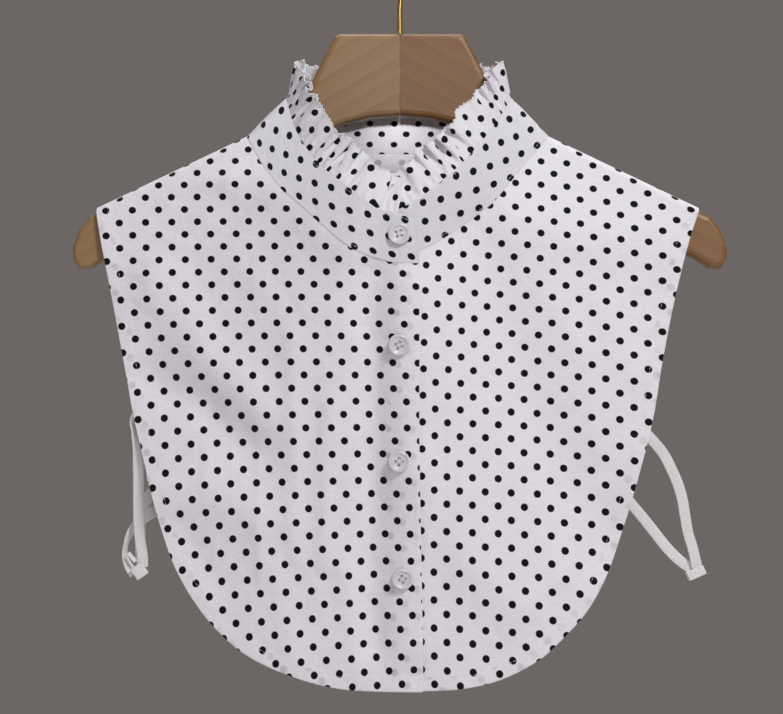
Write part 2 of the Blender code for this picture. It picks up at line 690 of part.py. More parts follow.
def hanger_half(name, side):
    """One board of the hanger, with its edges rounded except along the glued joint."""
    shape = bmesh.new()
    near = []
    far = []
    for x, z in hanger_outline():
        x = max(x, WOOD_JOINT_GAP / 2)
        near.append(shape.verts.new((side * x, -WOOD_THICK / 2, z)))
        far.append(shape.verts.new((side * x, WOOD_THICK / 2, z)))
    shape.faces.new(near)
    shape.faces.new(far[::-1])
    count = len(near)
    for k in range(count):
        after = (k + 1) % count
        shape.faces.new((near[after], near[k], far[k], far[after]))
    bmesh.ops.recalc_face_normals(shape, faces=shape.faces)
    joint = {near[0], near[-1], far[0], far[-1]}
    rims = []
    for edge in shape.edges:
        same_face = {v in near for v in edge.verts}
        if len(same_face) == 1 and not set(edge.verts) <= joint:
            rims.append(edge)
    bmesh.ops.bevel(shape, geom=rims, offset=WOOD_ROUND, segments=3, affect="EDGES", profile=0.5,
                    clamp_overlap=True)
    mesh = bpy.data.meshes.new(name)
    shape.to_mesh(mesh)
    shape.free()
    mesh.shade_smooth()
    mesh.set_sharp_from_angle(angle=math.radians(35))
    return add_object(name, mesh, BEECH)


def hook():
    """Brass wire: a straight stem that bends aside and goes round the rod's place with its top at the origin."""
    radius = HOOK_INNER_RADIUS + HOOK_WIRE / 2
    centre = -HOOK_INNER_RADIUS
    rows = [(0.0, WOOD_TOP + HOOK_SEAT), (0.0, -0.072), (0.0, -0.064), (0.0012, -0.056), (0.0060, -0.0470)]
    for k in range(15):
        angle = math.radians(-42 + k * 252 / 14)
        rows.append((radius * math.cos(angle), centre + radius * math.sin(angle)))
    curve = bpy.data.curves.new("hook", "CURVE")
    curve.dimensions = "3D"
    curve.bevel_depth = HOOK_WIRE / 2
    curve.bevel_resolution = 2
    curve.use_fill_caps = True
    points = smooth_rows(rows, 34)
    spline = curve.splines.new("POLY")
    spline.points.add(len(points) - 1)
    for target, (x, z) in zip(spline.points, points):
        target.co = (x, 0, z, 1)
    curve.materials.append(material("brass wire", *BRASS[1:]))
    made = bpy.data.objects.new("hook", curve)
    bpy.context.scene.collection.objects.link(made)
    return made


for old in list(bpy.data.objects):
    bpy.data.objects.remove(old)

front_panel("front_right", -1)
front_panel("front_left", 1)
back_panel()
placket()
collar_stand()
ruffle()
buttons()
strap("strap_right_front", STRAP_RIGHT_FRONT, 22, "front")
strap("strap_right_back", STRAP_RIGHT_BACK, 14, "back")
strap("strap_right_side", STRAP_RIGHT_SIDE, 18, "back")
strap("strap_right_tail", STRAP_RIGHT_TAIL, 4, width=ELASTIC_TAIL_WIDTH)
knot("knot_right", (-154.0, -2.5, -400.0), 4.3 * MM, 3.9 * MM, math.radians(35))
strap("strap_left_front", STRAP_LEFT_FRONT, 18, "front")
strap("strap_left_back", STRAP_LEFT_BACK, 14, "back")
knot("knot_left", (177.6, -2.3, -401.2), 5.8 * MM, 2.7 * MM, math.radians(24))
hanger_half("hanger_right", -1)
hanger_half("hanger_left", 1)
hook()
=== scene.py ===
"""Looks of a dotted cotton dickey with a ruffled stand collar, buttoned down the front, on a wooden hanger.

Lengths are metres, and the short tables give millimetres. +X is the wearer's left, -Y the front and +Z is up.
"""

import math

import bmesh
import bpy
import numpy as np
from mathutils import Matrix, Vector


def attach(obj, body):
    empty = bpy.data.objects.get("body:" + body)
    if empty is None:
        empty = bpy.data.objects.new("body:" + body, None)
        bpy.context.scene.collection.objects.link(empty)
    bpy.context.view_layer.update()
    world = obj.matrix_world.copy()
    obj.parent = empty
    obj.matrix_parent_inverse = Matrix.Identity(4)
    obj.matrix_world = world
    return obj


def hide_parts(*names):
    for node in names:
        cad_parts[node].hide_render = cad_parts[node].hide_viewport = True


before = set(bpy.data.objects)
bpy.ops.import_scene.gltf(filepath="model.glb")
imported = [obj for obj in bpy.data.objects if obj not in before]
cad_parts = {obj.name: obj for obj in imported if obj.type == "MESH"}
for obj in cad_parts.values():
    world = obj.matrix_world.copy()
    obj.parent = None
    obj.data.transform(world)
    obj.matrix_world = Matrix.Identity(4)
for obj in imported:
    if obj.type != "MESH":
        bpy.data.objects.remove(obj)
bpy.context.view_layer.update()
scene = bpy.context.scene
MM = 0.001


# Camera, light and floor
# A level camera stands 1.1 m in front of the cloth. A soft box lights it from the upper right, two wide ones
# fill its shadows, one from behind lifts the edges and a small spot lights only the cloth inside the neck.
# The studio is mid grey, and the floor is pale matt plaster.
CAMERA_PLACE = (-0.0050, -1.1037, -0.2724)
CAMERA_LENS_MM = 85
CAMERA_SENSOR_MM = 36
FLOOR_HEIGHT = -0.75
FLOOR_RADIUS = 1.25
STUDIO_GREY = "6c6765"


def linear(hex_colour):
    """An sRGB hex value as a linear colour with alpha."""
    values = [int(hex_colour[i:i + 2], 16) / 255 for i in (0, 2, 4)]
    return [v / 12.92 if v <= 0.04045 else ((v + 0.055) / 1.055) ** 2.4 for v in values] + [1.0]


def feed(tree, node, inputs):
    """Fills a node's inputs, each with a value, an output to link, or a node whose first output is linked."""
    for socket, value in inputs.items():
        if isinstance(value, bpy.types.Node):
            value = next(output for output in value.outputs if output.enabled)
        if isinstance(value, bpy.types.NodeSocket):
            tree.links.new(value, node.inputs[socket])
        else:
            node.inputs[socket].default_value = value


def add_node(tree, kind, inputs=None, **settings):
    """Adds a node with its settings and links."""
    node = tree.nodes.new(kind)
    for name, value in settings.items():
        setattr(node, name, value)
    feed(tree, node, inputs or {})
    return node


def new_material(name, **shader_values):
    made = bpy.data.materials.new(name)
    made.use_nodes = True
    shader = made.node_tree.nodes["Principled BSDF"]
    for socket, value in shader_values.items():
        shader.inputs[socket.replace("_", " ")].default_value = value
    return made, made.node_tree, shader


def add_object(name, mesh, material=None):
    made = bpy.data.objects.new(name, mesh)
    scene.collection.objects.link(made)
    if material:
        mesh.materials.append(material)
    return made


camera_data = bpy.data.cameras.new("camera")
camera_data.lens = CAMERA_LENS_MM
camera_data.sensor_width = CAMERA_SENSOR_MM
camera = add_object("camera", camera_data)
camera.location = CAMERA_PLACE
camera.rotation_euler = (math.radians(90), 0, 0)
scene.camera = camera
scene.view_settings.view_transform = "Standard"

# columns: name, place, size, power
LIGHTS = (
    ("key", (0.85, -1.60, 1.20), 0.45, 33),
    ("fill", (-1.70, -1.00, -0.60), 1.2, 3.5),
    ("front", (0.20, -1.90, 0.12), 0.5, 5),
    ("top", (0.00, 0.70, 1.30), 1.2, 18),
)
LIGHT_AIM = (0, 0, -0.30)
NECK_LIGHT_PLACE = (0.01, -0.95, -0.120)
NECK_LIGHT_AIM = (0.0, 0.035, -0.120)
NECK_LIGHT_POWER = 62
NECK_LIGHT_SPREAD = math.radians(4.2)
NECK_LIGHT_BLEND = 0.8
NECK_LIGHT_RADIUS = 0.03


def add_lamp(name, light, place, aim):
    lamp = add_object(name, light)
    lamp.location = place
    lamp.rotation_euler = (Vector(aim) - Vector(place)).to_track_quat("-Z", "Y").to_euler()
    return lamp


for name, place, size, power in LIGHTS:
    light = bpy.data.lights.new(name, "AREA")
    light.size = size
    light.energy = power
    add_lamp(name, light, place, LIGHT_AIM)

neck_spot = bpy.data.lights.new("neck", "SPOT")
neck_spot.energy = NECK_LIGHT_POWER
neck_spot.spot_size = NECK_LIGHT_SPREAD
neck_spot.spot_blend = NECK_LIGHT_BLEND
neck_spot.shadow_soft_size = NECK_LIGHT_RADIUS
neck_cloth = bpy.data.collections.new("cloth inside the neck")
neck_lamp = add_lamp("neck", neck_spot, NECK_LIGHT_PLACE, NECK_LIGHT_AIM)
neck_lamp.light_linking.receiver_collection = neck_cloth

world = bpy.data.worlds.new("studio")
world.use_nodes = True
world.node_tree.nodes["Background"].inputs["Color"].default_value = linear(STUDIO_GREY)
scene.world = world

floor_shape = bmesh.new()
bmesh.ops.create_circle(floor_shape, cap_ends=True, segments=128, radius=FLOOR_RADIUS)
bmesh.ops.translate(floor_shape, vec=(0, 0, FLOOR_HEIGHT), verts=floor_shape.verts)
floor_mesh = bpy.data.meshes.new("floor")
floor_shape.to_mesh(floor_mesh)
floor_shape.free()
plaster, plaster_tree, plaster_shader = new_material("matt plaster floor", Roughness=0.9)
plaster_place = add_node(plaster_tree, "ShaderNodeTexCoord").outputs["Object"]
plaster_cloud = add_node(plaster_tree, "ShaderNodeTexNoise", {"Vector": plaster_place, "Scale": 7.0})
plaster_tone = add_node(plaster_tree, "ShaderNodeMix",
                        {"Factor": plaster_cloud, "A": linear("dcd9d5"), "B": linear("e6e4e1")},
                        data_type="RGBA")
feed(plaster_tree, plaster_shader, {"Base Color": plaster_tone})
add_object("floor", floor_mesh, plaster)


# Hanger
# Two flat boards of pale beech glued at the middle, their grain rising to the joint, sanded and finished with
# a thin matt lacquer. It gives long darker growth lines, short pores along them and a soft broad gloss.
GRAIN_RISE = math.radians(29)


def beech(name, side, light, dark):
    """Lacquered beech whose grain rises to the joint at the middle."""
    made, tree, shader = new_material(name, Roughness=0.42)
    place = add_node(tree, "ShaderNodeTexCoord").outputs["Object"]
    turned = add_node(tree, "ShaderNodeMapping", {"Vector": place, "Rotation": (0, -side * GRAIN_RISE, 0)})
    broad = add_node(tree, "ShaderNodeMapping", {"Vector": turned, "Scale": (9, 60, 75)})
    cloud = add_node(tree, "ShaderNodeTexNoise", {"Vector": broad, "Scale": 1.0, "Detail": 3.0})
    rings = add_node(tree, "ShaderNodeTexWave",
                     {"Vector": broad, "Scale": 0.42, "Distortion": 7.0, "Detail": 2.0, "Detail Scale": 0.6},
                     bands_direction="Z", wave_profile="SAW")
    pores = add_node(tree, "ShaderNodeMapping", {"Vector": turned, "Scale": (110, 1500, 1500)})
    pore = add_node(tree, "ShaderNodeTexNoise", {"Vector": pores, "Scale": 1.0, "Detail": 1.0})
    pore_mask = add_node(tree, "ShaderNodeMapRange",
                         {"Value": pore, "From Min": 0.62, "From Max": 0.76, "To Max": 0.30}, clamp=True)
    growth = add_node(tree, "ShaderNodeMath", {0: rings.outputs["Fac"], 1: cloud}, operation="MULTIPLY")
    tone = add_node(tree, "ShaderNodeMix", {"Factor": growth, "A": linear(light), "B": linear(dark)},
                    data_type="RGBA")
    pored = add_node(tree, "ShaderNodeMix", {"Factor": pore_mask, "A": tone, "B": linear("6d543c")},
                     data_type="RGBA")
    bump = add_node(tree, "ShaderNodeBump", {"Height": pore_mask, "Strength": 0.25, "Distance": 0.0001},
                    invert=True)
    feed(tree, shader, {"Base Color": pored, "Normal": bump})
    return made


for node, side, light, dark in (("hanger_right", -1, "93734e", "7d5e3d"),
                                ("hanger_left", 1, "835c34", "6d4825")):
    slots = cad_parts[node].data.materials
    board = beech(f"lacquered beech {node}", side, light, dark)
    if len(slots):
        slots[0] = board
    else:
        slots.append(board)


# Hook
# Drawn brass wire 3.2 mm thick, bent cold round a former and polished, with a straight stem glued into the
# joint. It is bright metal with fine marks along the wire.
HOOK_WIRE = 3.2 * MM
HOOK_INNER_RADIUS = 19 * MM
WOOD_TOP = -80 * MM
HOOK_SEAT = 0.3 * MM
HOOK_SIDES = 20


def length_along(points):
    """Length along a line of points, from the first of them to each."""
    return np.concatenate(([0.0], np.cumsum(np.linalg.norm(np.diff(points, axis=0), axis=1))))


def curve_at(rows, fractions):
    """Points at fractions of the length of a smooth curve through rows of any number of columns."""
    rows = np.array(rows, float)
    knots = length_along(rows)
    spans = np.diff(knots)
    slopes = np.empty_like(rows)
    slopes[0] = (rows[1] - rows[0]) / spans[0]
    slopes[-1] = (rows[-1] - rows[-2]) / spans[-1]
    slopes[1:-1] = (rows[2:] - rows[:-2]) / (knots[2:] - knots[:-2])[:, None]
    places = np.asarray(fractions) * knots[-1]
    piece = np.clip(np.searchsorted(knots, places, side="right") - 1, 0, len(rows) - 2)
    span = spans[piece][:, None]
    t = (places - knots[piece])[:, None] / span
    start = rows[piece] * (1 + 2 * t) * (1 - t) ** 2 + slopes[piece] * span * t * (1 - t) ** 2
    end = rows[piece + 1] * t * t * (3 - 2 * t) + slopes[piece + 1] * span * t * t * (t - 1)
    return start + end


def unit(vectors):
    return vectors / np.maximum(np.linalg.norm(vectors, axis=-1, keepdims=True), 1e-12)


def face_outwards(mesh):
    """Turns the faces of a closed mesh outwards."""
    shape = bmesh.new()
    shape.from_mesh(mesh)
    bmesh.ops.recalc_face_normals(shape, faces=shape.faces)
    shape.to_mesh(mesh)
    shape.free()


def dress(piece, node):
    """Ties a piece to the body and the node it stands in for."""
    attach(piece, "root")
    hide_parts(node)


def tube(name, path, radius, sides, material):
    """A round wire along a path, with domed ends."""
    path = np.array(path, float)
    tangents = unit(np.gradient(path, axis=0))
    across = unit(np.cross(tangents, np.array((0.31, 0.87, 0.38))))
    other = np.cross(tangents, across)
    angles = np.linspace(0, 2 * np.pi, sides, endpoint=False)
    ring = np.cos(angles)[None, :, None] * across[:, None] + np.sin(angles)[None, :, None] * other[:, None]
    dome = np.radians((90, 60, 30))
    rings = [path[0] + ring[0] * radius * math.cos(a) - tangents[0] * radius * math.sin(a) for a in dome[1:]]
    rings += list(path[:, None] + ring * radius)
    rings += [path[-1] + ring[-1] * radius * math.cos(a) + tangents[-1] * radius * math.sin(a)
              for a in dome[:0:-1]]
    count = len(rings)
    points = np.concatenate(rings + [[path[0] - tangents[0] * radius, path[-1] + tangents[-1] * radius]])
    faces = []
    for r in range(count - 1):
        for k in range(sides):
            after = (k + 1) % sides
            faces.append((r * sides + k, r * sides + after, (r + 1) * sides + after, (r + 1) * sides + k))
    first = count * sides
    faces += [(first, (k + 1) % sides, k) for k in range(sides)]
    last = (count - 1) * sides
    faces += [(first + 1, last + k, last + (k + 1) % sides) for k in range(sides)]
    mesh = bpy.data.meshes.new(name)
    mesh.from_pydata(points.tolist(), [], faces)
    face_outwards(mesh)
    mesh.shade_smooth()
    return add_object(name, mesh, material)


brass, brass_tree, brass_shader = new_material("polished brass wire", Metallic=1.0, Roughness=0.28)
brass_place = add_node(brass_tree, "ShaderNodeTexCoord").outputs["Object"]
brass_marks = add_node(brass_tree, "ShaderNodeMapping", {"Vector": brass_place, "Scale": (2500, 2500, 120)})
brass_noise = add_node(brass_tree, "ShaderNodeTexNoise", {"Vector": brass_marks, "Scale": 1.0})
brass_tone = add_node(brass_tree, "ShaderNodeMix",
                      {"Factor": brass_noise, "A": linear("c9a052"), "B": linear("e2c07a")}, data_type="RGBA")
feed(brass_tree, brass_shader, {"Base Color": brass_tone})

bend_radius = HOOK_INNER_RADIUS + HOOK_WIRE / 2
hook_rows = [(0, 0, WOOD_TOP + HOOK_SEAT), (0, 0, -0.072), (0, 0, -0.064), (0.0012, 0, -0.056),
             (0.0060, 0, -0.0470)]
for angle in np.radians(np.linspace(-42, 210, 15)):
    hook_rows.append((bend_radius * math.cos(angle), 0, -HOOK_INNER_RADIUS + bend_radius * math.sin(angle)))
hook_path = curve_at(hook_rows, np.linspace(0.0, 1, 90))
hook = tube("brass_hook", hook_path, HOOK_WIRE / 2, HOOK_SIDES, brass)
dress(hook, "hook")


# Back
# One piece of light plain-woven cotton, printed with black dots on one side, hung over the hanger's arms. Its
# armholes and hem are turned twice, pressed and topstitched, which leaves a thicker, slightly puckered edge.
CLOTH = 0.5 * MM
TURNING = 8.0 * MM
TURNING_THICK = 0.9 * MM
STITCH_INSET = 1.2 * MM
CLOTH_SHIFT = -1.2 * MM
NECK_POINT = (89.5, -140.5)
SHOULDER_TIP = (179.0, -183.3)
SHOULDER_HALF_GAP = 0.08 * MM
RIDGE_DEPTH = 8.4 * MM
RIDGE_DROP = 5.0 * MM
BACK_SWELL = 34.5 * MM
BACK_SWELL_WIDTH = 160 * MM
BACK_SWELL_DROP = 12 * MM
BACK_FALL = 0.92
BACK_FALL_START = 135 * MM
BACK_FALL_END = 290 * MM
NECK_SHARE = 0.55
DOT_PITCH = 15.0 * MM
DOT_RADIUS = 2.10 * MM
DOT_BLEED = 0.018
THREAD_SPACING = 0.45 * MM
TURNED_PRINT = np.array((3.1, 4.3)) * MM
BACK_PANEL_PRINT = np.array((-2.8, -2.3)) * MM
# Where the edge's puckers begin, which differs from panel to panel
BACK_PUCKER = 0.7
FRONT_PUCKER = 1.9

# Back armhole and hem; columns: height z, half width
BACK_ARMHOLE = ((-183.3, 179.0), (-205.0, 172.0), (-245.0, 161.0), (-285.0, 152.0), (-325.0, 142.0))
BACK_HEM = ((-325.0, 142.0), (-360.0, 131.0), (-392.0, 112.0), (-415.0, 87.0), (-429.0, 56.0), (-435.5, 26.0),
            (-437.0, 0.0))
# Neck seam and collar top across the back; columns: seam x, seam z, top x, top y, top z
COLLAR_BACK = (
    (-89.5, -140.5, -66.9, 2.0, -117.5),
    (-82.0, -142.2, -62.5, 15.5, -115.9),
    (-60.0, -145.4, -46.4, 30.0, -116.6),
    (-29.5, -146.8, -24.0, 38.0, -117.4),
    (0.0, -147.0, 0.0, 40.0, -117.5),
    (29.5, -146.8, 24.0, 38.0, -117.4),
    (60.0, -145.4, 46.6, 30.0, -116.6),
    (82.0, -142.2, 63.5, 15.5, -115.9),
    (89.5, -140.5, 67.7, 2.0, -117.5),
)
# Soft folds; columns: points x, z along the fold, half width, height away from the body
BACK_FOLDS = (
    (((-140, -210), (-80, -300)), 15, 3.4),
    (((130, -215), (70, -320)), 15, 3.6),
    (((-60, -260), (-50, -400)), 14, -3.0),
    (((22, -200), (34, -410)), 16, 3.0),
    (((-115, -240), (-92, -345)), 7, 1.2),
    (((96, -300), (84, -385)), 8, -1.2),
    (((-12, -230), (-22, -330)), 8, 1.0),
    (((0, -345), (6, -420)), 7, 1.1),
    (((58, -210), (66, -290)), 9, -1.1),
)


def fade(value, low, high):
    """A soft step from 0 at low to 1 at high."""
    t = np.clip((value - low) / (high - low), 0.0, 1.0)
    return t * t * (3 - 2 * t)


def crowded(count, crowding=0.6):
    """Fractions from 0 to 1 that lie closer together near both ends, where seams and hems are."""
    t = np.linspace(0, 1, count)
    return t - crowding * np.sin(2 * np.pi * t) / (2 * np.pi)


def fold_height(folds, x, z):
    """Height of soft rounded folds, each along a line of a few points."""
    total = np.zeros_like(x)
    for line, half_width, height in folds:
        gap = np.full_like(x, 1.0)
        for (x0, z0), (x1, z1) in zip(line[:-1], line[1:]):
            run_x = (x1 - x0) * MM
            run_z = (z1 - z0) * MM
            to_x = x - x0 * MM
            to_z = z - z0 * MM
            t = np.clip((to_x * run_x + to_z * run_z) / (run_x ** 2 + run_z ** 2), 0, 1)
            gap = np.minimum(gap, np.hypot(to_x - t * run_x, to_z - t * run_z))
        total += height * MM * np.exp(-(gap / (half_width * MM)) ** 2)
    return total


SHOULDER_SLOPE = math.atan2(NECK_POINT[1] - SHOULDER_TIP[1], SHOULDER_TIP[0] - NECK_POINT[0])


def below_shoulder(x, z):
    line = NECK_POINT[1] * MM - (np.abs(x) - NECK_POINT[0] * MM) * math.tan(SHOULDER_SLOPE)
    return np.maximum((line - z) * math.cos(SHOULDER_SLOPE), 0)


def ridge(drop):
    """How far the cloth has come over the hanger's arm at a distance below its ridge."""
    t = np.minimum(drop / RIDGE_DROP, 1)
    return RIDGE_DEPTH * np.sqrt(1 - (1 - t) ** 2)


def over_shoulder(x, z):
    """Flat places moved up the cloth by what it takes to lie bent over the hanger's arm."""
    steps = np.linspace(0, RIDGE_DROP, 300)
    bent = np.concatenate(([0], np.cumsum(np.hypot(np.diff(steps), np.diff(ridge(steps))) - np.diff(steps))))
    extra = bent[-1] - np.interp(below_shoulder(x, z), steps, bent)
    return x + np.sign(x) * extra * math.sin(SHOULDER_SLOPE), z + extra * math.cos(SHOULDER_SLOPE)


def back_depth(x, z):
    drop = below_shoulder(x, z)
    swell = BACK_SWELL * (1 - np.exp(-drop / BACK_SWELL_DROP)) * np.exp(-(x / BACK_SWELL_WIDTH) ** 2)
    swell = swell * (1 - BACK_FALL * fade(-z, BACK_FALL_START, BACK_FALL_END))
    folds = fold_height(BACK_FOLDS, x, z) * fade(drop, 0.004, 0.030)
    return SHOULDER_HALF_GAP + ridge(drop) + swell + folds


def fill_edges(top, bottom, start, end, across, down):
    """Flat points (x, z) that fill four edges, at the given fractions across and down."""
    u = across[None, :, None]
    v = down[:, None, None]
    ruled = (1 - v) * top[None] + v * bottom[None] + (1 - u) * start[:, None] + u * end[:, None]
    corners = (1 - v) * ((1 - u) * top[0] + u * top[-1]) + v * ((1 - u) * bottom[0] + u * bottom[-1])
    return ruled - corners


def table_edge(rows, column, side):
    """Points (x, z) of an armhole or hem table in metres."""
    return [(side * row[column] * MM, row[0] * MM) for row in rows]


def from_edge(flat, edge):
    """Distance of flat points from an edge's points, and how far along the edge the nearest one is."""
    lengths = length_along(edge)
    distance = np.empty(flat.shape[:2])
    along = np.empty(flat.shape[:2])
    for row, points in enumerate(flat):
        gaps = np.hypot(points[:, None, 0] - edge[None, :, 0], points[:, None, 1] - edge[None, :, 1])
        distance[row] = gaps.min(axis=1)
        along[row] = lengths[gaps.argmin(axis=1)]
    return distance, along


def turned_edge(distance, along, seed):
    """Height of the turned, topstitched and slightly puckered edge over the cloth, and the share turned."""
    turned = 1 - fade(distance, TURNING - 0.6 * MM, TURNING + 0.6 * MM)
    stitch = np.exp(-((distance - TURNING + STITCH_INSET) / (0.9 * MM)) ** 2)
    wave = np.sin(along / (2.6 * MM) + 1.3 * np.sin(along / (17 * MM) + seed) + seed)
    slow = 0.6 + 0.4 * np.sin(along / (31 * MM) + 2 * seed)
    pucker = wave * slow * np.exp(-((distance - 7 * MM) / (7 * MM)) ** 2)
    return 0.32 * MM * turned - 0.22 * MM * stitch + 0.17 * MM * pucker, turned


# How far a folded edge bulges, as a share of the thickness, and how much of the wrong side it shows
EDGE_ROUND = 0.45
EDGE_WRONG_SHARE = 0.2


def shell(name, outer, thickness, grain, layers, material, turn_up=None, under=None):
    """A closed cloth wall with folded edges under a grid of outer points.

    Columns run towards -X on the front and rows run down. Its attributes hold the grain in metres and that of
    the layer underneath, the share that is doubled, and which side is the wrong side of the print.
    """
    rows, columns = outer.shape[:2]
    across = np.empty_like(outer)
    across[:, 1:-1] = outer[:, 2:] - outer[:, :-2]
    across[:, 0] = outer[:, 1] - outer[:, 0]
    across[:, -1] = outer[:, -1] - outer[:, -2]
    down = np.empty_like(outer)
    down[1:-1] = outer[2:] - outer[:-2]
    down[0] = outer[1] - outer[0]
    down[-1] = outer[-1] - outer[-2]
    out = unit(np.cross(across, down))
    if turn_up is not None:
        out[0] = np.where(np.isnan(turn_up), out[0], turn_up)
    thickness = np.broadcast_to(thickness, (rows, columns))
    inner = outer - out * thickness[..., None]
    outward = np.zeros_like(outer)
    outward[0] -= unit(down[0])
    outward[-1] += unit(down[-1])
    outward[:, 0] -= unit(across[:, 0])
    outward[:, -1] += unit(across[:, -1])
    index = np.arange(rows * columns).reshape(rows, columns)
    loop = np.concatenate((index[0, :-1], index[:-1, -1], index[-1, :0:-1], index[:0:-1, 0]))
    folded = (outer + inner) / 2 + unit(outward) * thickness[..., None] * EDGE_ROUND
    total = rows * columns
    points = np.concatenate((outer.reshape(-1, 3), inner.reshape(-1, 3), folded.reshape(-1, 3)[loop]))
    points[:, 0] += CLOTH_SHIFT
    a = index[:-1, :-1].ravel()
    b = index[:-1, 1:].ravel()
    c = index[1:, 1:].ravel()
    d = index[1:, :-1].ravel()
    after = np.roll(loop, -1)
    rim = 2 * total + np.arange(len(loop))
    rim_after = np.roll(rim, -1)
    faces = np.concatenate((
        np.stack((a, b, c, d), 1), np.stack((a, d, c, b), 1) + total,
        np.stack((after, loop, rim, rim_after), 1),
        np.stack((rim_after, rim, loop + total, after + total), 1)))
    mesh = bpy.data.meshes.new(name)
    mesh.from_pydata(points.tolist(), [], faces.tolist())
    under = grain + TURNED_PRINT if under is None else under
    for attribute, places in (("under", under), ("grain", grain)):
        flat_places = places.reshape(-1, 2)
        values = np.zeros((len(points), 3), np.float32)
        values[:, :2] = np.concatenate((flat_places, flat_places, flat_places[loop]))
        mesh.attributes.new(attribute, "FLOAT_VECTOR", "POINT").data.foreach_set("vector", values.ravel())
    flat_layers = np.broadcast_to(layers, (rows, columns)).reshape(-1)
    doubled = np.concatenate((flat_layers, flat_layers, flat_layers[loop]))
    wrong = np.concatenate((np.zeros(total), np.ones(total), np.full(len(loop), EDGE_WRONG_SHARE)))
    for attribute, values in (("doubled", doubled), ("wrong_side", wrong)):
        mesh.attributes.new(attribute, "FLOAT", "POINT").data.foreach_set("value", values.astype(np.float32))
    mesh.shade_smooth()
    mesh.set_sharp_from_angle(angle=math.radians(75))
    return add_object(name, mesh, material)


def dots(tree, grain, radius, softness):
    """A mask of round dots in a staggered lattice on the cloth's grain, with slightly bled edges."""
    scaled = add_node(tree, "ShaderNodeVectorMath", {0: grain, "Scale": 1 / DOT_PITCH}, operation="SCALE")
    gaps = []
    for half in (0.0, 0.5):
        shifted = add_node(tree, "ShaderNodeVectorMath", {0: scaled, 1: (half, half, 0)}, operation="ADD")
        wrapped = add_node(tree, "ShaderNodeVectorMath",
                           {0: shifted, 1: (0.5, 0.5, 0.5), 2: (-0.5, -0.5, -0.5)}, operation="WRAP")
        gaps.append(add_node(tree, "ShaderNodeVectorMath", {0: wrapped}, operation="LENGTH"))
    nearest = add_node(tree, "ShaderNodeMath", {0: gaps[0], 1: gaps[1]}, operation="MINIMUM")
    bleed = add_node(tree, "ShaderNodeTexNoise", {"Vector": grain, "Scale": 1600.0, "Detail": 1.0})
    ragged = add_node(tree, "ShaderNodeMath", {0: bleed, 1: DOT_BLEED, 2: nearest}, operation="MULTIPLY_ADD")
    edge = radius / DOT_PITCH + DOT_BLEED / 2
    return add_node(tree, "ShaderNodeMapRange",
                    {"Value": ragged, "From Min": edge - softness, "From Max": edge + softness, "To Min": 1.0,
                     "To Max": 0.0}, interpolation_type="SMOOTHSTEP")


def printed_cotton(name, wrong_side_print, darker, lighter):
    """Cotton lawn printed with black dots, where a layer under a doubled place shows through in grey."""
    made, tree, shader = new_material(name, Roughness=0.88, Specular_IOR_Level=0.15, Sheen_Weight=0.03)
    grain = add_node(tree, "ShaderNodeAttribute", attribute_name="grain").outputs["Vector"]
    doubled = add_node(tree, "ShaderNodeAttribute", attribute_name="doubled").outputs["Fac"]
    wrong = add_node(tree, "ShaderNodeAttribute", attribute_name="wrong_side").outputs["Fac"]
    slub = add_node(tree, "ShaderNodeMapping", {"Vector": grain, "Scale": (160, 900, 1)})
    slub_noise = add_node(tree, "ShaderNodeTexNoise", {"Vector": slub, "Scale": 1.0, "Detail": 2.0})
    white = add_node(tree, "ShaderNodeMix", {"Factor": slub_noise, "A": linear(darker), "B": linear(lighter)},
                     data_type="RGBA")
    under = add_node(tree, "ShaderNodeAttribute", attribute_name="under").outputs["Vector"]
    patchy = add_node(tree, "ShaderNodeTexNoise", {"Vector": grain, "Scale": 70.0, "Detail": 1.0})
    patchy_share = add_node(tree, "ShaderNodeMapRange", {"Value": patchy, "From Min": 0.35, "From Max": 0.65,
                                                         "To Min": 0.08, "To Max": 0.42})
    ghost = add_node(tree, "ShaderNodeMath", {0: dots(tree, under, DOT_RADIUS, 0.05), 1: doubled},
                     operation="MULTIPLY")
    ghost_share = add_node(tree, "ShaderNodeMath", {0: ghost, 1: patchy_share}, operation="MULTIPLY")
    ghosted = add_node(tree, "ShaderNodeMix", {"Factor": ghost_share, "A": white, "B": linear("8b8892")},
                       data_type="RGBA")
    print_share = add_node(tree, "ShaderNodeMath", {0: wrong, 1: wrong_side_print - 1.0, 2: 1.0},
                           operation="MULTIPLY_ADD")
    ink = add_node(tree, "ShaderNodeMath", {0: dots(tree, grain, DOT_RADIUS, 0.012), 1: print_share},
                   operation="MULTIPLY")
    printed = add_node(tree, "ShaderNodeMix", {"Factor": ink, "A": ghosted, "B": linear("0e0d13")},
                       data_type="RGBA")
    # The real threads are 0.2 mm apart and are drawn about twice as coarse, so that the weave shows.
    threads = add_node(tree, "ShaderNodeVectorMath", {0: grain, "Scale": 2 * math.pi / THREAD_SPACING},
                       operation="SCALE")
    split = add_node(tree, "ShaderNodeSeparateXYZ", {"Vector": threads})
    warp = add_node(tree, "ShaderNodeMath", {0: split.outputs["X"]}, operation="SINE")
    weft = add_node(tree, "ShaderNodeMath", {0: split.outputs["Y"]}, operation="SINE")
    weave = add_node(tree, "ShaderNodeMath", {0: warp, 1: weft}, operation="MULTIPLY")
    crinkle = add_node(tree, "ShaderNodeTexNoise",
                       {"Vector": grain, "Scale": 95.0, "Detail": 4.0, "Roughness": 0.52, "Distortion": 0.8})
    weave_bump = add_node(tree, "ShaderNodeBump", {"Height": weave, "Strength": 0.22, "Distance": 0.00005})
    soft_bump = add_node(tree, "ShaderNodeBump",
                         {"Height": crinkle, "Strength": 0.5, "Distance": 0.0016, "Normal": weave_bump})
    feed(tree, shader, {"Base Color": printed, "Normal": soft_bump})
    return made


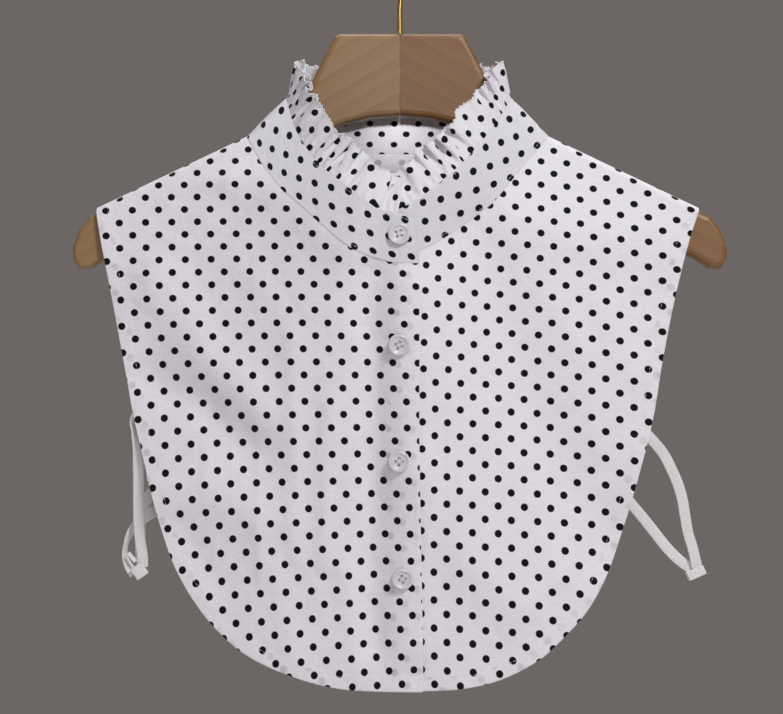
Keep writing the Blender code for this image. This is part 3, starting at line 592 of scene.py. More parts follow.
cotton = printed_cotton("printed cotton lawn", 0.42, "dcd9e1", "e9e7ee")
# The doubled cotton's whites are painted darker than the single cotton's, as shade on the leaning collar
# stand; its print shows fully on both faces.
doubled_cotton_with_painted_shade = printed_cotton("printed cotton lawn doubled with painted shade", 1.0, "cfccd4", "dcdae2")


def shoulder_top(columns, side):
    """Straight up from the shoulder line at its columns, so that front and back meet along it."""
    up = np.array((side * math.sin(SHOULDER_SLOPE), 0, math.cos(SHOULDER_SLOPE)))
    return np.where(columns[:, None], up, np.nan)


def panel_top(neck_rows, side, across):
    """Upper edge of a panel, the neck seam and then the shoulder, and which of its columns are shoulder."""
    on_neck = across <= NECK_SHARE
    neck = curve_at(np.array(neck_rows) * MM, across[on_neck] / NECK_SHARE)
    share = ((across[~on_neck] - NECK_SHARE) / (1 - NECK_SHARE))[:, None]
    near = np.array((side * NECK_POINT[0], NECK_POINT[1])) * MM
    far = np.array((side * SHOULDER_TIP[0], SHOULDER_TIP[1])) * MM
    return np.concatenate((neck, near + (far - near) * share)), ~on_neck | (across >= NECK_SHARE - 1e-6)


def panel_columns(neck_count, shoulder_count):
    neck = np.linspace(0, NECK_SHARE, neck_count)
    shoulder = NECK_SHARE + (1 - NECK_SHARE) * np.sin(np.linspace(0, np.pi / 2, shoulder_count)) ** 1.15
    return np.concatenate((neck, shoulder[1:]))


def outer_edge(armhole, hem, armhole_share, hem_share):
    """Points of a panel's turned edge, down the armhole and along the hem."""
    return np.concatenate((curve_at(armhole, armhole_share), curve_at(hem, hem_share)[1:]))


def panel(neck_rows, armhole, hem, middle_x, side, across, down):
    """One half of the garment as flat points, which columns are shoulder, and where the turned edge is."""
    top, is_shoulder = panel_top(neck_rows, side, across)
    bottom = curve_at(hem[::-1], across)
    middle = np.stack((middle_x, top[0, 1] + (bottom[0, 1] - top[0, 1]) * down), 1)
    flat = fill_edges(top, bottom, middle, curve_at(armhole, down), across, down)
    edge = outer_edge(armhole, hem, np.linspace(0, 1, 400), np.linspace(0, 1, 600))
    return flat, is_shoulder, *from_edge(flat, edge)


down = crowded(150)
back_neck = [row[:2] for row in COLLAR_BACK if row[0] >= 0]
half, is_shoulder, distance, along = panel(
    back_neck, table_edge(BACK_ARMHOLE, 1, 1), table_edge(BACK_HEM, 1, 1), np.zeros_like(down), 1,
    panel_columns(48, 44), down)
flat = np.concatenate((half[:, :0:-1] * (-1, 1), half), axis=1)
distance = np.concatenate((distance[:, :0:-1], distance), axis=1)
along = np.concatenate((-along[:, :0:-1], along), axis=1)
raised, turned = turned_edge(distance, along, BACK_PUCKER)
x = flat[..., 0]
z = flat[..., 1]
outer = np.stack((x, back_depth(x, z) + raised, z), -1)
back_up = np.concatenate((shoulder_top(is_shoulder, -1)[:0:-1], shoulder_top(is_shoulder, 1)))
laid_x, laid_z = over_shoulder(x, z)
back_grain = np.stack((laid_x, -laid_z), -1) + BACK_PANEL_PRINT
thick = CLOTH + (TURNING_THICK - CLOTH) * turned
back = shell("back_panel_cloth", outer, thick, back_grain, turned, cotton, back_up)
dress(back, "back_panel")
neck_cloth.objects.link(back)


# Fronts
# Two pieces of the same cotton, cut as a pair, sewn to the back at the shoulders and turned and topstitched
# round the armhole and hem. The right one is folded under along the buttoned edge, and the left one runs on
# beneath it.
FRONT_SWELL = 45.6 * MM
FRONT_SWELL_WIDTH = 121 * MM
FRONT_SWELL_DROP = 45 * MM
FRONT_FALL = 0.68
FRONT_FALL_TOP = -200 * MM
FRONT_FALL_HEIGHT = 270 * MM
LEFT_FRONT_EDGE = -5.5
UNDER_LAYER = 1.6 * MM
OVERLAP_TOP = 11.6 * MM
OVERLAP_HEM = 14.1 * MM
FACING_EDGE = -7.1 * MM
FACING_PROUD = 0.6 * MM
FOLDED_THICK = 1.05 * MM
FACING_PRINT = np.array((-3.2, -0.9)) * MM
TURNED_SHOWS = 0.85
FOLD_ROLL = 0.35 * MM

# Neck seam and collar top, from the overlapping end at centre front to the wearer's right shoulder
# columns: seam x, seam z, top x, top y, top z
COLLAR_RIGHT = (
    (11.6, -218.2, 11.6, -48.2, -199.9),
    (9.8, -218.2, 10.2, -48.1, -196.0),
    (5.5, -218.3, 6.0, -48.0, -192.6),
    (-0.1, -218.1, -0.1, -47.7, -190.1),
    (-14.9, -214.4, -10.8, -46.5, -188.2),
    (-28.7, -208.0, -19.0, -45.0, -182.0),
    (-40.5, -198.3, -29.5, -41.5, -173.8),
    (-56.2, -183.9, -42.0, -35.0, -164.0),
    (-67.0, -174.2, -50.5, -27.5, -154.5),
    (-79.5, -158.1, -60.2, -15.0, -138.5),
    (-89.5, -140.5, -66.9, 2.0, -117.5),
)
# Neck seam and collar top from the wearer's left shoulder to the end under the buttons; same columns
COLLAR_LEFT = (
    (89.5, -140.5, 67.7, 2.0, -117.5),
    (76.0, -156.3, 59.0, -15.0, -132.5),
    (64.8, -170.0, 49.5, -27.0, -145.8),
    (53.8, -183.0, 38.8, -35.5, -158.3),
    (43.0, -191.5, 29.5, -40.0, -167.2),
    (27.3, -202.4, 17.5, -43.3, -177.3),
    (14.7, -209.6, 7.5, -44.7, -184.0),
    (3.0, -214.0, 0.5, -45.2, -187.6),
    (-5.5, -216.2, -5.0, -45.4, -189.0),
)
# Armhole and hem from the shoulder tip; columns: height z, wearer's right x, wearer's left x
FRONT_ARMHOLE = (
    (-183.3, 179.0, 179.0),
    (-203.1, 175.6, 172.0),
    (-238.7, 168.4, 162.9),
    (-274.2, 161.8, 155.9),
    (-309.6, 155.3, 150.0),
    (-345.0, 146.6, 141.2),
)
FRONT_HEM = (
    (-345.0, 146.6, 141.2),
    (-374.6, 139.0, 132.9),
    (-398.1, 130.4, 124.5),
    (-421.5, 116.1, 111.4),
    (-439.1, 99.9, 95.4),
    (-450.7, 83.0, 81.8),
    (-462.1, 53.8, 58.0),
    (-467.0, 28.0, 32.0),
    (-468.0, 7.5, -5.5),
)
# Soft folds; columns: points x, z along the fold, half width, height towards the front
FRONT_FOLDS = (
    (((-120, -158), (-62, -178), (-30, -207)), 16, 4.2),
    (((-144, -228), (-112, -271), (-82, -306)), 15, 3.9),
    (((-148, -286), (-112, -302), (-86, -324)), 13, -3.8),
    (((-148, -353), (-112, -350), (-82, -368)), 16, 3.8),
    (((-61, -262), (-60, -388)), 7, 1.6),
    (((-41, -300), (-43, -392)), 6, 1.3),
    (((-75, -395), (-60, -450)), 10, 1.4),
    (((10, -236), (10, -440)), 14, 3.8),
    (((-15, -226), (-15, -440)), 10, -3.6),
    (((66, -194), (147, -206)), 20, 3.8),
    (((43, -205), (69, -282), (95, -337), (122, -378)), 24, -8.0),
    (((17, -343), (43, -388), (69, -417)), 18, 3.6),
    (((-138, -174), (-100, -169)), 6, 1.2),
    (((118, -244), (142, -284)), 9, 1.4),
    (((84, -232), (104, -262)), 8, 1.0),
    (((118, -352), (98, -402)), 9, 1.4),
    (((152, -205), (146, -262)), 6, -1.0),
    (((-128, -372), (-108, -404)), 8, -1.2),
    (((-30, -398), (-24, -452)), 7, 1.1),
    (((-96, -215), (-66, -248)), 8, 0.9),
    (((30, -300), (38, -352)), 9, 1.0),
    (((-158, -188), (-135, -203), (-112, -210)), 3.2, 0.55),
    (((-160, -210), (-140, -217), (-124, -226)), 3.0, 0.45),
    (((-146, -196), (-128, -199), (-110, -207)), 2.8, -0.45),
    (((-162, -220), (-146, -226), (-130, -228)), 2.6, 0.40),
    (((-150, -178), (-126, -186), (-104, -196)), 3.4, 0.50),
    (((-130, -170), (-108, -176), (-90, -188)), 3.2, -0.50),
    (((-157, -236), (-140, -246)), 3.0, 0.35),
    (((-81, -322), (-82, -372), (-80, -416)), 2.6, 0.50),
    (((-111, -326), (-114, -360)), 2.6, 0.40),
    (((-92, -398), (-76, -438)), 3.2, 0.40),
    (((-104, -298), (-86, -330)), 3.0, 0.35),
    (((-26, -408), (-12, -452)), 3.0, 0.35),
    (((150, -196), (122, -203), (100, -214)), 3.4, 0.45),
    (((140, -230), (120, -248)), 3.0, 0.35),
    (((58, -188), (84, -196), (104, -208)), 3.2, 0.45),
    (((44, -392), (52, -440)), 3.2, 0.40),
    (((88, -318), (96, -356)), 3.0, 0.35),
)


def unevenness(x, z):
    """Slow, shallow waves that keep hung cotton from looking flat."""
    across_mm = x / MM
    up_mm = z / MM
    long_wave = np.sin(across_mm / 7.1 + 2.1 * np.sin(up_mm / 21))
    long_wave = long_wave * np.sin(up_mm / 11.2 + 1.7 * np.sin(across_mm / 33))
    short_wave = np.sin(across_mm / 4.2 - up_mm / 13.1 + 1.4) * np.sin(up_mm / 6.3 + across_mm / 19)
    return 0.26 * MM * long_wave + 0.15 * MM * short_wave


def front_depth(x, z):
    """Depth of the outer face of the front, which falls back towards the hem."""
    drop = below_shoulder(x, z)
    swell = FRONT_SWELL * (1 - np.exp(-drop / FRONT_SWELL_DROP)) * np.exp(-(x / FRONT_SWELL_WIDTH) ** 2)
    swell = swell * (1 - FRONT_FALL * np.clip((FRONT_FALL_TOP - z) / FRONT_FALL_HEIGHT, 0, 1))
    folds = fold_height(FRONT_FOLDS, x, z) * fade(drop, 0.004, 0.022)
    folds = folds + unevenness(x, z) * fade(drop, 0.0, 0.02)
    return -(SHOULDER_HALF_GAP + ridge(drop) + swell + folds)


def under_layer(x):
    """How much deeper the left front lies where the placket covers it."""
    return UNDER_LAYER * (1 - fade(x, 0.020, 0.040))


# How the print lies on each front, in millimetres of cloth across it and down it, where X and Z count each
# 100 mm to the wearer's left and up from a place 300 mm under the hook
# columns: powers of X and Z, across, down
RIGHT_PRINT = ((0, 0, 55, 32), (1, 0, 104, -1), (0, 1, 3, -100), (2, 0, 3, -2), (1, 1, 0, -4), (0, 2, 0, -3))
LEFT_PRINT = ((0, 0, -75, 36), (1, 0, 107, -3), (0, 1, -2, -98), (2, 0, -7, -2), (1, 1, 2, 1), (0, 2, -1, -3))


def front_grain(x, z, side):
    """Places on the cloth of a front, in metres, which is cut slightly off the grain and eased to hang."""
    grain = np.zeros((*x.shape, 2))
    for power_x, power_z, across_mm, down_mm in RIGHT_PRINT if side < 0 else LEFT_PRINT:
        term = (x / 0.1) ** power_x * ((z + 0.3) / 0.1) ** power_z
        grain += term[..., None] * (across_mm * MM, down_mm * MM)
    return grain


def overlap_edge(down):
    """Where the right front's folded edge is, at fractions of its height."""
    return OVERLAP_TOP + (OVERLAP_HEM - OVERLAP_TOP) * fade(down, 0.35, 1)


def facing_proud(x):
    """How far the facing underneath lifts the right front."""
    return FACING_PROUD * fade(x, FACING_EDGE - 8 * MM, FACING_EDGE + 5 * MM)


down = crowded(170)
for side, name, node in ((-1, "front_right_cloth", "front_right"), (1, "front_left_cloth", "front_left")):
    if side < 0:
        neck_rows = [row[:2] for row in COLLAR_RIGHT]
        column = 1
        edge_x = overlap_edge(down)
    else:
        neck_rows = [row[:2] for row in reversed(COLLAR_LEFT)]
        column = 2
        edge_x = np.full_like(down, LEFT_FRONT_EDGE * MM)
    hem = table_edge(FRONT_HEM, column, side)
    hem[-1] = (edge_x[-1], hem[-1][1])
    flat, is_shoulder, distance, along = panel(
        neck_rows, table_edge(FRONT_ARMHOLE, column, side), hem, edge_x, side, panel_columns(64, 44), down)
    raised, turned = turned_edge(distance, along, FRONT_PUCKER + side)
    x = flat[..., 0]
    z = flat[..., 1]
    deeper = under_layer(x) if side > 0 else -facing_proud(x)
    outer = np.stack((x, front_depth(x, z) + deeper - raised, z), -1)
    grain = front_grain(*over_shoulder(x, z), side)
    under = grain + TURNED_PRINT
    up = shoulder_top(is_shoulder, side)
    thick = CLOTH + (TURNING_THICK - CLOTH) * turned
    shown = TURNED_SHOWS
    if side < 0:
        faced = fade(x, FACING_EDGE - 0.5 * MM, FACING_EDGE + 0.5 * MM)
        under = under + (FACING_PRINT - TURNED_PRINT) * faced[..., None]
        turned = np.maximum(turned, faced)
        shown = TURNED_SHOWS + (1 - TURNED_SHOWS) * faced
        from_fold = overlap_edge(down)[:, None] - x
        outer[..., 1] -= FOLD_ROLL * np.exp(-(from_fold / (0.9 * MM)) ** 2)
        thick = np.maximum(thick, CLOTH + (FOLDED_THICK - CLOTH) * (1 - fade(from_fold, 0.6 * MM, 1.6 * MM)))
    if side > 0:
        outer, grain, turned, thick, under = (grid[:, ::-1] for grid in (outer, grain, turned, thick, under))
        up = up[::-1]
    front = shell(name, outer, thick, grain, turned * shown, cotton, up, under)
    dress(front, node)


# Placket
# The facing of the buttoned edge, a strip of the same cotton that lies folded under the right front. Only its
# dots show, in grey, through the front.
PLACKET_TOP = -218.6 * MM
PLACKET_HEM = -466.0 * MM
FACING_GAP = 0.62 * MM
FACING_THICK = 0.45 * MM
FACING_SHORT = 1.7 * MM

down = np.linspace(0, 1, 150)
across = np.linspace(0, 1, 16)
z = np.broadcast_to((PLACKET_TOP + (PLACKET_HEM - PLACKET_TOP) * down)[:, None], (150, 16))
right = overlap_edge(down)[:, None] - FACING_SHORT
x = right + (FACING_EDGE - right) * across[None]
outer = np.stack((x, front_depth(x, z) - facing_proud(x) + FACING_GAP, z), -1)
placket = shell("placket_cloth", outer, FACING_THICK, front_grain(x, z, -1) + FACING_PRINT, 1.0, cotton)
dress(placket, "placket")


# Collar stand
# A doubled band cut on a curve, sewn to the neck seam and edge-stitched, with a rounded overlapping end at
# the front that takes the first button. The frill sewn into its upper edge draws it into small soft gathers.
STAND_ROWS = 20
STAND_THICK = 0.9 * MM
# How the print lies on the band laid flat, in millimetres, with U and V each 100 mm across and down from a
# middle point
# columns: powers of U and V, then across and down on the wearer's right front, the same on the left
STAND_MIDDLES = ((150, -70), (-140, -70))
STAND_PRINT = (
    (0, 0, 154, -32, -140, -39), (1, 0, 60, 70, 75, -45), (0, 1, -55, 100, 40, 95),
    (2, 0, 15, 30, -25, 5), (1, 1, 20, 5, 30, 10), (0, 2, 15, 25, -35, 5),
)
BACK_PRINT = np.array((5.9, 15.0)) * MM
BACK_LEAN = np.array((1.0, 1.163))


def collar_stations(counts=(84, 112, 84)):
    """Seam and top points of the collar from its overlapping end, round the back, to its under end."""
    seams = []
    tops = []
    for table, count, place in ((COLLAR_RIGHT, counts[0], -1), (COLLAR_BACK, counts[1], 1),
                                (COLLAR_LEFT, counts[2], 0)):
        rows = curve_at(np.array(table) * MM, np.linspace(0, 1, count))[1 if seams else 0:]
        x = rows[:, 0]
        z = rows[:, 1]
        if place > 0:
            depth = back_depth(x, z)
        else:
            depth = front_depth(x, z)
            depth = depth + (under_layer(x) if place == 0 else -0.5 * MM * fade(x, -0.020, -0.008))
        depth = np.where(below_shoulder(x, z) > 1e-5, depth, 0.0)
        seams.append(np.stack((x, depth, z), 1))
        tops.append(rows[:, 2:5])
    return np.concatenate(seams), np.concatenate(tops)


def beyond(a, b, from_a, from_b, side):
    """The flat point at two distances from a and b, on the given side of the line from a to b."""
    run = b - a
    length = np.linalg.norm(run)
    along_run = (from_a ** 2 - from_b ** 2 + length ** 2) / (2 * length)
    height = math.sqrt(max(from_a ** 2 - along_run ** 2, 0))
    run = run / length
    return a + run * along_run + side * height * np.array((-run[1], run[0]))


def laid_flat(low, high, start):
    """Flat places of the two edges of a band, unrolled both ways from one station as it was cut."""
    flat_low = np.zeros((len(low), 2))
    flat_high = np.zeros((len(low), 2))
    flat_high[start] = (0, np.linalg.norm(high[start] - low[start]))
    for step, stop in ((1, len(low)), (-1, -1)):
        for i in range(start + step, stop, step):
            before = i - step
            flat_low[i] = beyond(flat_low[before], flat_high[before], math.dist(low[before], low[i]),
                                 math.dist(high[before], low[i]), -step)
            flat_high[i] = beyond(flat_low[i], flat_high[before], math.dist(low[i], high[i]),
                                  math.dist(high[before], high[i]), -step)
    return flat_low, flat_high


def band_print(flat_band, stations):
    """Places on the cloth of the band, on the straight grain at the back and turning towards both fronts."""
    grain = flat_band * BACK_LEAN + BACK_PRINT
    for side in (0, 1):
        middle = np.array(STAND_MIDDLES[side]) * MM
        across = (flat_band[..., 0] - middle[0]) / 0.1
        down = (flat_band[..., 1] - middle[1]) / 0.1
        turned_print = np.zeros_like(flat_band)
        for row in STAND_PRINT:
            term = across ** row[0] * down ** row[1]
            turned_print += term[..., None] * np.array(row[2 + 2 * side:4 + 2 * side]) * MM
        from_front = stations if side == 0 else stations[-1] - stations
        share = (1 - fade(from_front, 76, 118))[None, :, None]
        grain = grain * (1 - share) + turned_print * share
    return grain


seams, tops = collar_stations()
levels = crowded(STAND_ROWS, 0.5)[::-1]
outward = unit(seams * (1, 1, 0))
rise = unit(tops - seams)
foot = seams - rise * 0.4 * MM + outward * 0.10 * MM
seam_length = length_along(seams)
top_length = length_along(tops)
level = levels[:, None]
gather = np.sin(top_length / (1.55 * MM) + 1.4 * np.sin(top_length / (11 * MM)))
gather = gather * (0.6 + 0.4 * np.sin(top_length / (23 * MM) + 1))
at_back = fade(seams[:, 1], 0.010, 0.030)[None]
slow_gather = np.sin(top_length / (1.8 * MM) + 1.7 * np.sin(top_length / (9 * MM)) + 1)
bow = 0.6 * MM * np.sin(np.pi * level) + 0.22 * MM * gather[None] * fade(level, 0.45, 1.0)
bow = bow + 1.0 * MM * at_back * slow_gather[None] * fade(level, 0.15, 1.0)
bow = bow + 0.35 * MM * np.exp(-(level / 0.05) ** 2)
bow = bow + 0.40 * MM * np.exp(-(seam_length / (1.0 * MM)) ** 2)[None]
outer = foot[None] + (tops - foot)[None] * level[..., None] + outward[None] * bow[..., None]
centre_back = int(np.argmin(np.abs(seams[:, 0]) + 1000 * (seams[:, 1] < 0)))
flat_seam, flat_top = laid_flat(foot, tops, centre_back)
flat_band = -(flat_seam[None] + (flat_top - flat_seam)[None] * level[..., None])
stand_grain = band_print(flat_band, np.arange(len(seams)))
outer_band = outer
band_out = outward
# The stand's darker whites are painted shade.
stand = shell("collar_stand_cloth", outer, STAND_THICK, stand_grain, 0.0, doubled_cotton_with_painted_shade)
dress(stand, "collar_stand")
neck_cloth.objects.link(stand)


# Frill
# A single strip of the same cotton, about 1.6 times as long as the seam, gathered unevenly and sewn into the
# stand's upper edge. It stands up in soft waves that lean on each other, and its free edge is overlocked in
# white.
FRILL_HEIGHT = 21.5 * MM
FRILL_LEAN = math.radians(17)
FRILL_COLUMNS = 1100
FRILL_ROWS = 22
WAVE_SWING = 2.7 * MM
FRILL_PRINT = np.array((4.0, 1.5)) * MM

first = int(np.argmax(tops[:, 0] < -0.4 * MM))
foot = curve_at(tops[first:-1], np.linspace(0, 1, FRILL_COLUMNS))
tangent = unit(np.gradient(foot, axis=0))
inward = unit((np.array((0, -4 * MM, 0)) - foot) * (1, 1, 0))
rise = np.array((0, 0, math.cos(FRILL_LEAN))) + inward * math.sin(FRILL_LEAN)
rise = unit(rise - tangent * np.sum(rise * tangent, axis=1, keepdims=True))
out = unit(np.cross(tangent, -rise))
run = length_along(foot) / MM
level = crowded(FRILL_ROWS, 0.4)[::-1][:, None]
calm = 0.22 + 0.78 * fade(run, 10, 42) * fade(run[-1] - run, 4, 34)
big_phase = run / 1.95 + 1.6 * np.sin(run / 9.7 + 0.4) + 0.9 * np.sin(run / 23 + 2)
big_phase = big_phase + 0.9 * level * np.sin(run / 8.3 + 1)
big_size = calm * (0.8 + 0.35 * np.sin(run / 7.9 + 1.3) + 0.2 * np.sin(run / 17.3))
small_phase = run / 0.82 + 1.2 * np.sin(run / 5.3) + 0.9 * np.sin(run / 13.1 + 1)
bulge = WAVE_SWING * big_size * np.sin(big_phase) * level ** 0.95
gathers = 0.36 * MM * np.sin(small_phase) * fade(level, 0, 0.08) * (1 - fade(level, 0.12, 0.5))
puffs = 0.55 * MM * np.sin(run / 3.3 + 1.2 * np.sin(run / 9) + 2.5 * level) * np.sin(np.pi * level)
sideways = -1.75 * MM * big_size * np.sin(2 * big_phase + 0.35) * level ** 1.1
tall = FRILL_HEIGHT * (1 + 0.05 * np.sin(run / 6.3) + 0.04 * np.sin(run / 2.9 + 1))
ripple = 0.40 * MM * np.sin(run * 2.7 + np.sin(run / 3)) + 0.30 * MM * np.sin(run * 4.7 + 1)
reach = tall * level + ripple * fade(level, 0.86, 1.0)
middle = foot[None] + rise[None] * reach[..., None] + out[None] * (bulge + gathers + puffs)[..., None]
middle = middle + tangent[None] * sideways[..., None]
edge_length = length_along(middle[FRILL_ROWS // 3])
frill_grain = np.stack((np.broadcast_to(edge_length[None], reach.shape), -reach), -1) + FRILL_PRINT
frill = shell("collar_frill_cloth", middle, CLOTH, frill_grain, 0.0, cotton)
dress(frill, "collar_ruffle")


# Stitches
# White sewing thread in short stitches, one sunk after another, along both edges of the collar and every
# turned edge, with dense overcast stitches round the buttonholes and on the frill's free edge.
STITCH_SUNK = 0.08 * MM
STITCH_PITCH = 2.7 * MM
STITCH_LENGTH = 2.1 * MM
THREAD_RADIUS = 0.13 * MM

thread_white = new_material("white sewing thread", Roughness=0.7, Base_Color=linear("e4e2e6"))[0]


def stitch_nodes():
    """A node tree that lays one stitch after another along the edges of a mesh."""
    tree = bpy.data.node_groups.new("stitches along a path", "GeometryNodeTree")
    for socket, kind in (("Path", "Geometry"), ("Pitch", "Float"), ("Length", "Float"), ("Thread", "Float"),
                         ("Finish", "Material")):
        tree.interface.new_socket(socket, in_out="INPUT", socket_type=f"NodeSocket{kind}")
    tree.interface.new_socket("Stitches", in_out="OUTPUT", socket_type="NodeSocketGeometry")
    given = add_node(tree, "NodeGroupInput").outputs
    line = add_node(tree, "GeometryNodeMeshToCurve", {"Mesh": given["Path"]})
    spaced = add_node(tree, "GeometryNodeResampleCurve", {"Curve": line, "Length": given["Pitch"]},
                      mode="LENGTH")
    heading = add_node(tree, "GeometryNodeInputTangent")
    turn = add_node(tree, "FunctionNodeAlignRotationToVector", {"Vector": heading}, axis="Z")
    half = add_node(tree, "ShaderNodeMath", {0: given["Length"], 1: 0.5}, operation="MULTIPLY")
    size = add_node(tree, "ShaderNodeCombineXYZ", {"X": given["Thread"], "Y": given["Thread"], "Z": half})
    uneven = add_node(tree, "FunctionNodeRandomValue",
                      {"Min": (0.85, 0.85, 0.85), "Max": (1.12, 1.12, 1.12), "Seed": 5},
                      data_type="FLOAT_VECTOR")
    sized = add_node(tree, "ShaderNodeVectorMath", {0: size, 1: uneven}, operation="MULTIPLY")
    bead = add_node(tree, "GeometryNodeMeshUVSphere", {"Segments": 6, "Rings": 5, "Radius": 1.0})
    placed = add_node(tree, "GeometryNodeInstanceOnPoints",
                      {"Points": spaced, "Instance": bead, "Rotation": turn, "Scale": sized})
    real = add_node(tree, "GeometryNodeRealizeInstances", {"Geometry": placed})
    smooth = add_node(tree, "GeometryNodeSetShadeSmooth", {"Geometry": real})
    finished = add_node(tree, "GeometryNodeSetMaterial", {"Geometry": smooth, "Material": given["Finish"]})
    add_node(tree, "NodeGroupOutput", {"Stitches": finished})
    return tree


stitch_tree = stitch_nodes()


def stitched(name, paths, pitch=STITCH_PITCH, length=STITCH_LENGTH, thread=THREAD_RADIUS):
    """Stitches along paths of points, made real as one mesh."""
    joints = []
    start = 0
    for points in paths:
        joints += [(start + k, start + k + 1) for k in range(len(points) - 1)]
        start += len(points)
    mesh = bpy.data.meshes.new(name + "_path")
    mesh.from_pydata(np.concatenate(paths).tolist(), joints, [])
    made = add_object(name, mesh)
    modifier = made.modifiers.new("stitches", "NODES")
    modifier.node_group = stitch_tree
    values = {"Pitch": pitch, "Length": length, "Thread": thread, "Finish": thread_white}
    for socket in stitch_tree.interface.items_tree:
        if socket.in_out == "INPUT" and socket.name in values:
            modifier[socket.identifier] = values[socket.name]
    evaluated = made.evaluated_get(bpy.context.evaluated_depsgraph_get())
    real_mesh = bpy.data.meshes.new_from_object(evaluated)
    made.modifiers.clear()
    made.data = real_mesh
    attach(made, "root")
    return made


def inset(edge, distance, outward_side):
    """Points at a distance inside an edge of flat points."""
    along_edge = unit(np.gradient(edge, axis=0))
    inner = np.stack((-along_edge[:, 1], along_edge[:, 0]), 1) * outward_side
    return edge + inner * distance


def depth_path(flat, depth):
    """Flat points set at their depths, shifted as the cloth is."""
    return np.stack((flat[:, 0] + CLOTH_SHIFT, depth, flat[:, 1]), 1)


for garment_side, armhole, hem, columns, hem_share, name in (
        ("front", FRONT_ARMHOLE, FRONT_HEM, (1, 2), 0.985, "front_edge_stitches"),
        ("back", BACK_ARMHOLE, BACK_HEM, (1, 1), 1, "back_edge_stitches")):
    rows = []
    for side, column in zip((-1, 1), columns):
        edge = outer_edge(table_edge(armhole, column, side), table_edge(hem, column, side),
                          np.linspace(0.012, 1, 300), np.linspace(0, hem_share, 400))
        line = inset(edge, TURNING - STITCH_INSET, -side)
        x = line[:, 0]
        in_from_edge = np.full(len(line), TURNING - STITCH_INSET)
        if garment_side == "front":
            raised, turned = turned_edge(in_from_edge, length_along(edge), FRONT_PUCKER + side)
            deeper = under_layer(x) if side > 0 else 0.0
            depth = front_depth(x, line[:, 1]) + deeper - raised - STITCH_SUNK
            keep = x * side > (0.007 if side < 0 else -0.001)
        else:
            raised, turned = turned_edge(in_from_edge, length_along(edge) * side, BACK_PUCKER)
            depth = back_depth(x, line[:, 1]) + raised + STITCH_SUNK
            keep = slice(None)
        rows.append(depth_path(line, depth)[keep])
    stitched(name, rows)

rows = []
band_faces = outer_band + (CLOTH_SHIFT, 0, 0) + band_out * STITCH_SUNK
for part in (0.055, 0.93):
    rows.append(np.stack([np.interp(part, levels[::-1], band_faces[::-1, k, axis])
                          for k in range(len(seams)) for axis in range(3)]).reshape(-1, 3))
stitched("collar_stitches", rows)
overlocked = middle[0] + (CLOTH_SHIFT, 0, 0)
stitched("frill_edge_stitches", [overlocked[4:-4] - rise[4:-4] * 0.15 * MM],
         pitch=0.75 * MM, length=0.75 * MM, thread=0.36 * MM)


# Buttons
# Four turned shirt buttons of milky translucent resin, with a rounded rim, a dished face and four holes, sewn
# on with crossed thread. Below each of the lower three its buttonhole shows as a faint upright slit in dense
# stitches.
BUTTON_PLACES = ((0.5, -202.1), (0.5, -265.5), (0.6, -332.4), (2.6, -400.6))
# The stations of the collar stand in front, and the one under the first button
OVERLAP_STATIONS = 81
BUTTON_STATION = 14
BUTTON_HOLE_RADIUS = 0.85 * MM
BUTTON_HOLE_OFFSET = 1.35 * MM
# The crossed thread, which rises over the dished face and dips into the holes
THREAD_CROWN = 1.9 * MM
THREAD_DIP = 1.1 * MM
BUTTON_SUNK = 0.35 * MM
BUTTONHOLE_HALF_WIDTH = 0.9 * MM
BUTTONHOLE_HALF_HEIGHT = 7.9 * MM
BUTTONHOLE_DROP = 0.4 * MM
# columns: radius, height, from the middle of the back to the middle of the dished face
BUTTON_OUTLINE = ((0, 0), (4.6, 0), (5.8, 0.25), (6.3, 0.75), (6.4, 1.2), (6.25, 1.7), (5.85, 2.15),
                  (5.35, 2.35), (4.85, 2.25), (4.45, 1.9), (4.0, 1.6), (3.2, 1.45), (0, 1.4))

resin, resin_tree, resin_shader = new_material("milky shirt button resin", Roughness=0.22, IOR=1.5,
                                               Transmission_Weight=0.25)
resin_place = add_node(resin_tree, "ShaderNodeTexCoord").outputs["Object"]
resin_cloud = add_node(resin_tree, "ShaderNodeTexNoise", {"Vector": resin_place, "Scale": 260.0})
resin_tone = add_node(resin_tree, "ShaderNodeMix",
                      {"Factor": resin_cloud, "A": linear("dedce2"), "B": linear("efedf3")}, data_type="RGBA")
feed(resin_tree, resin_shader, {"Base Color": resin_tone})


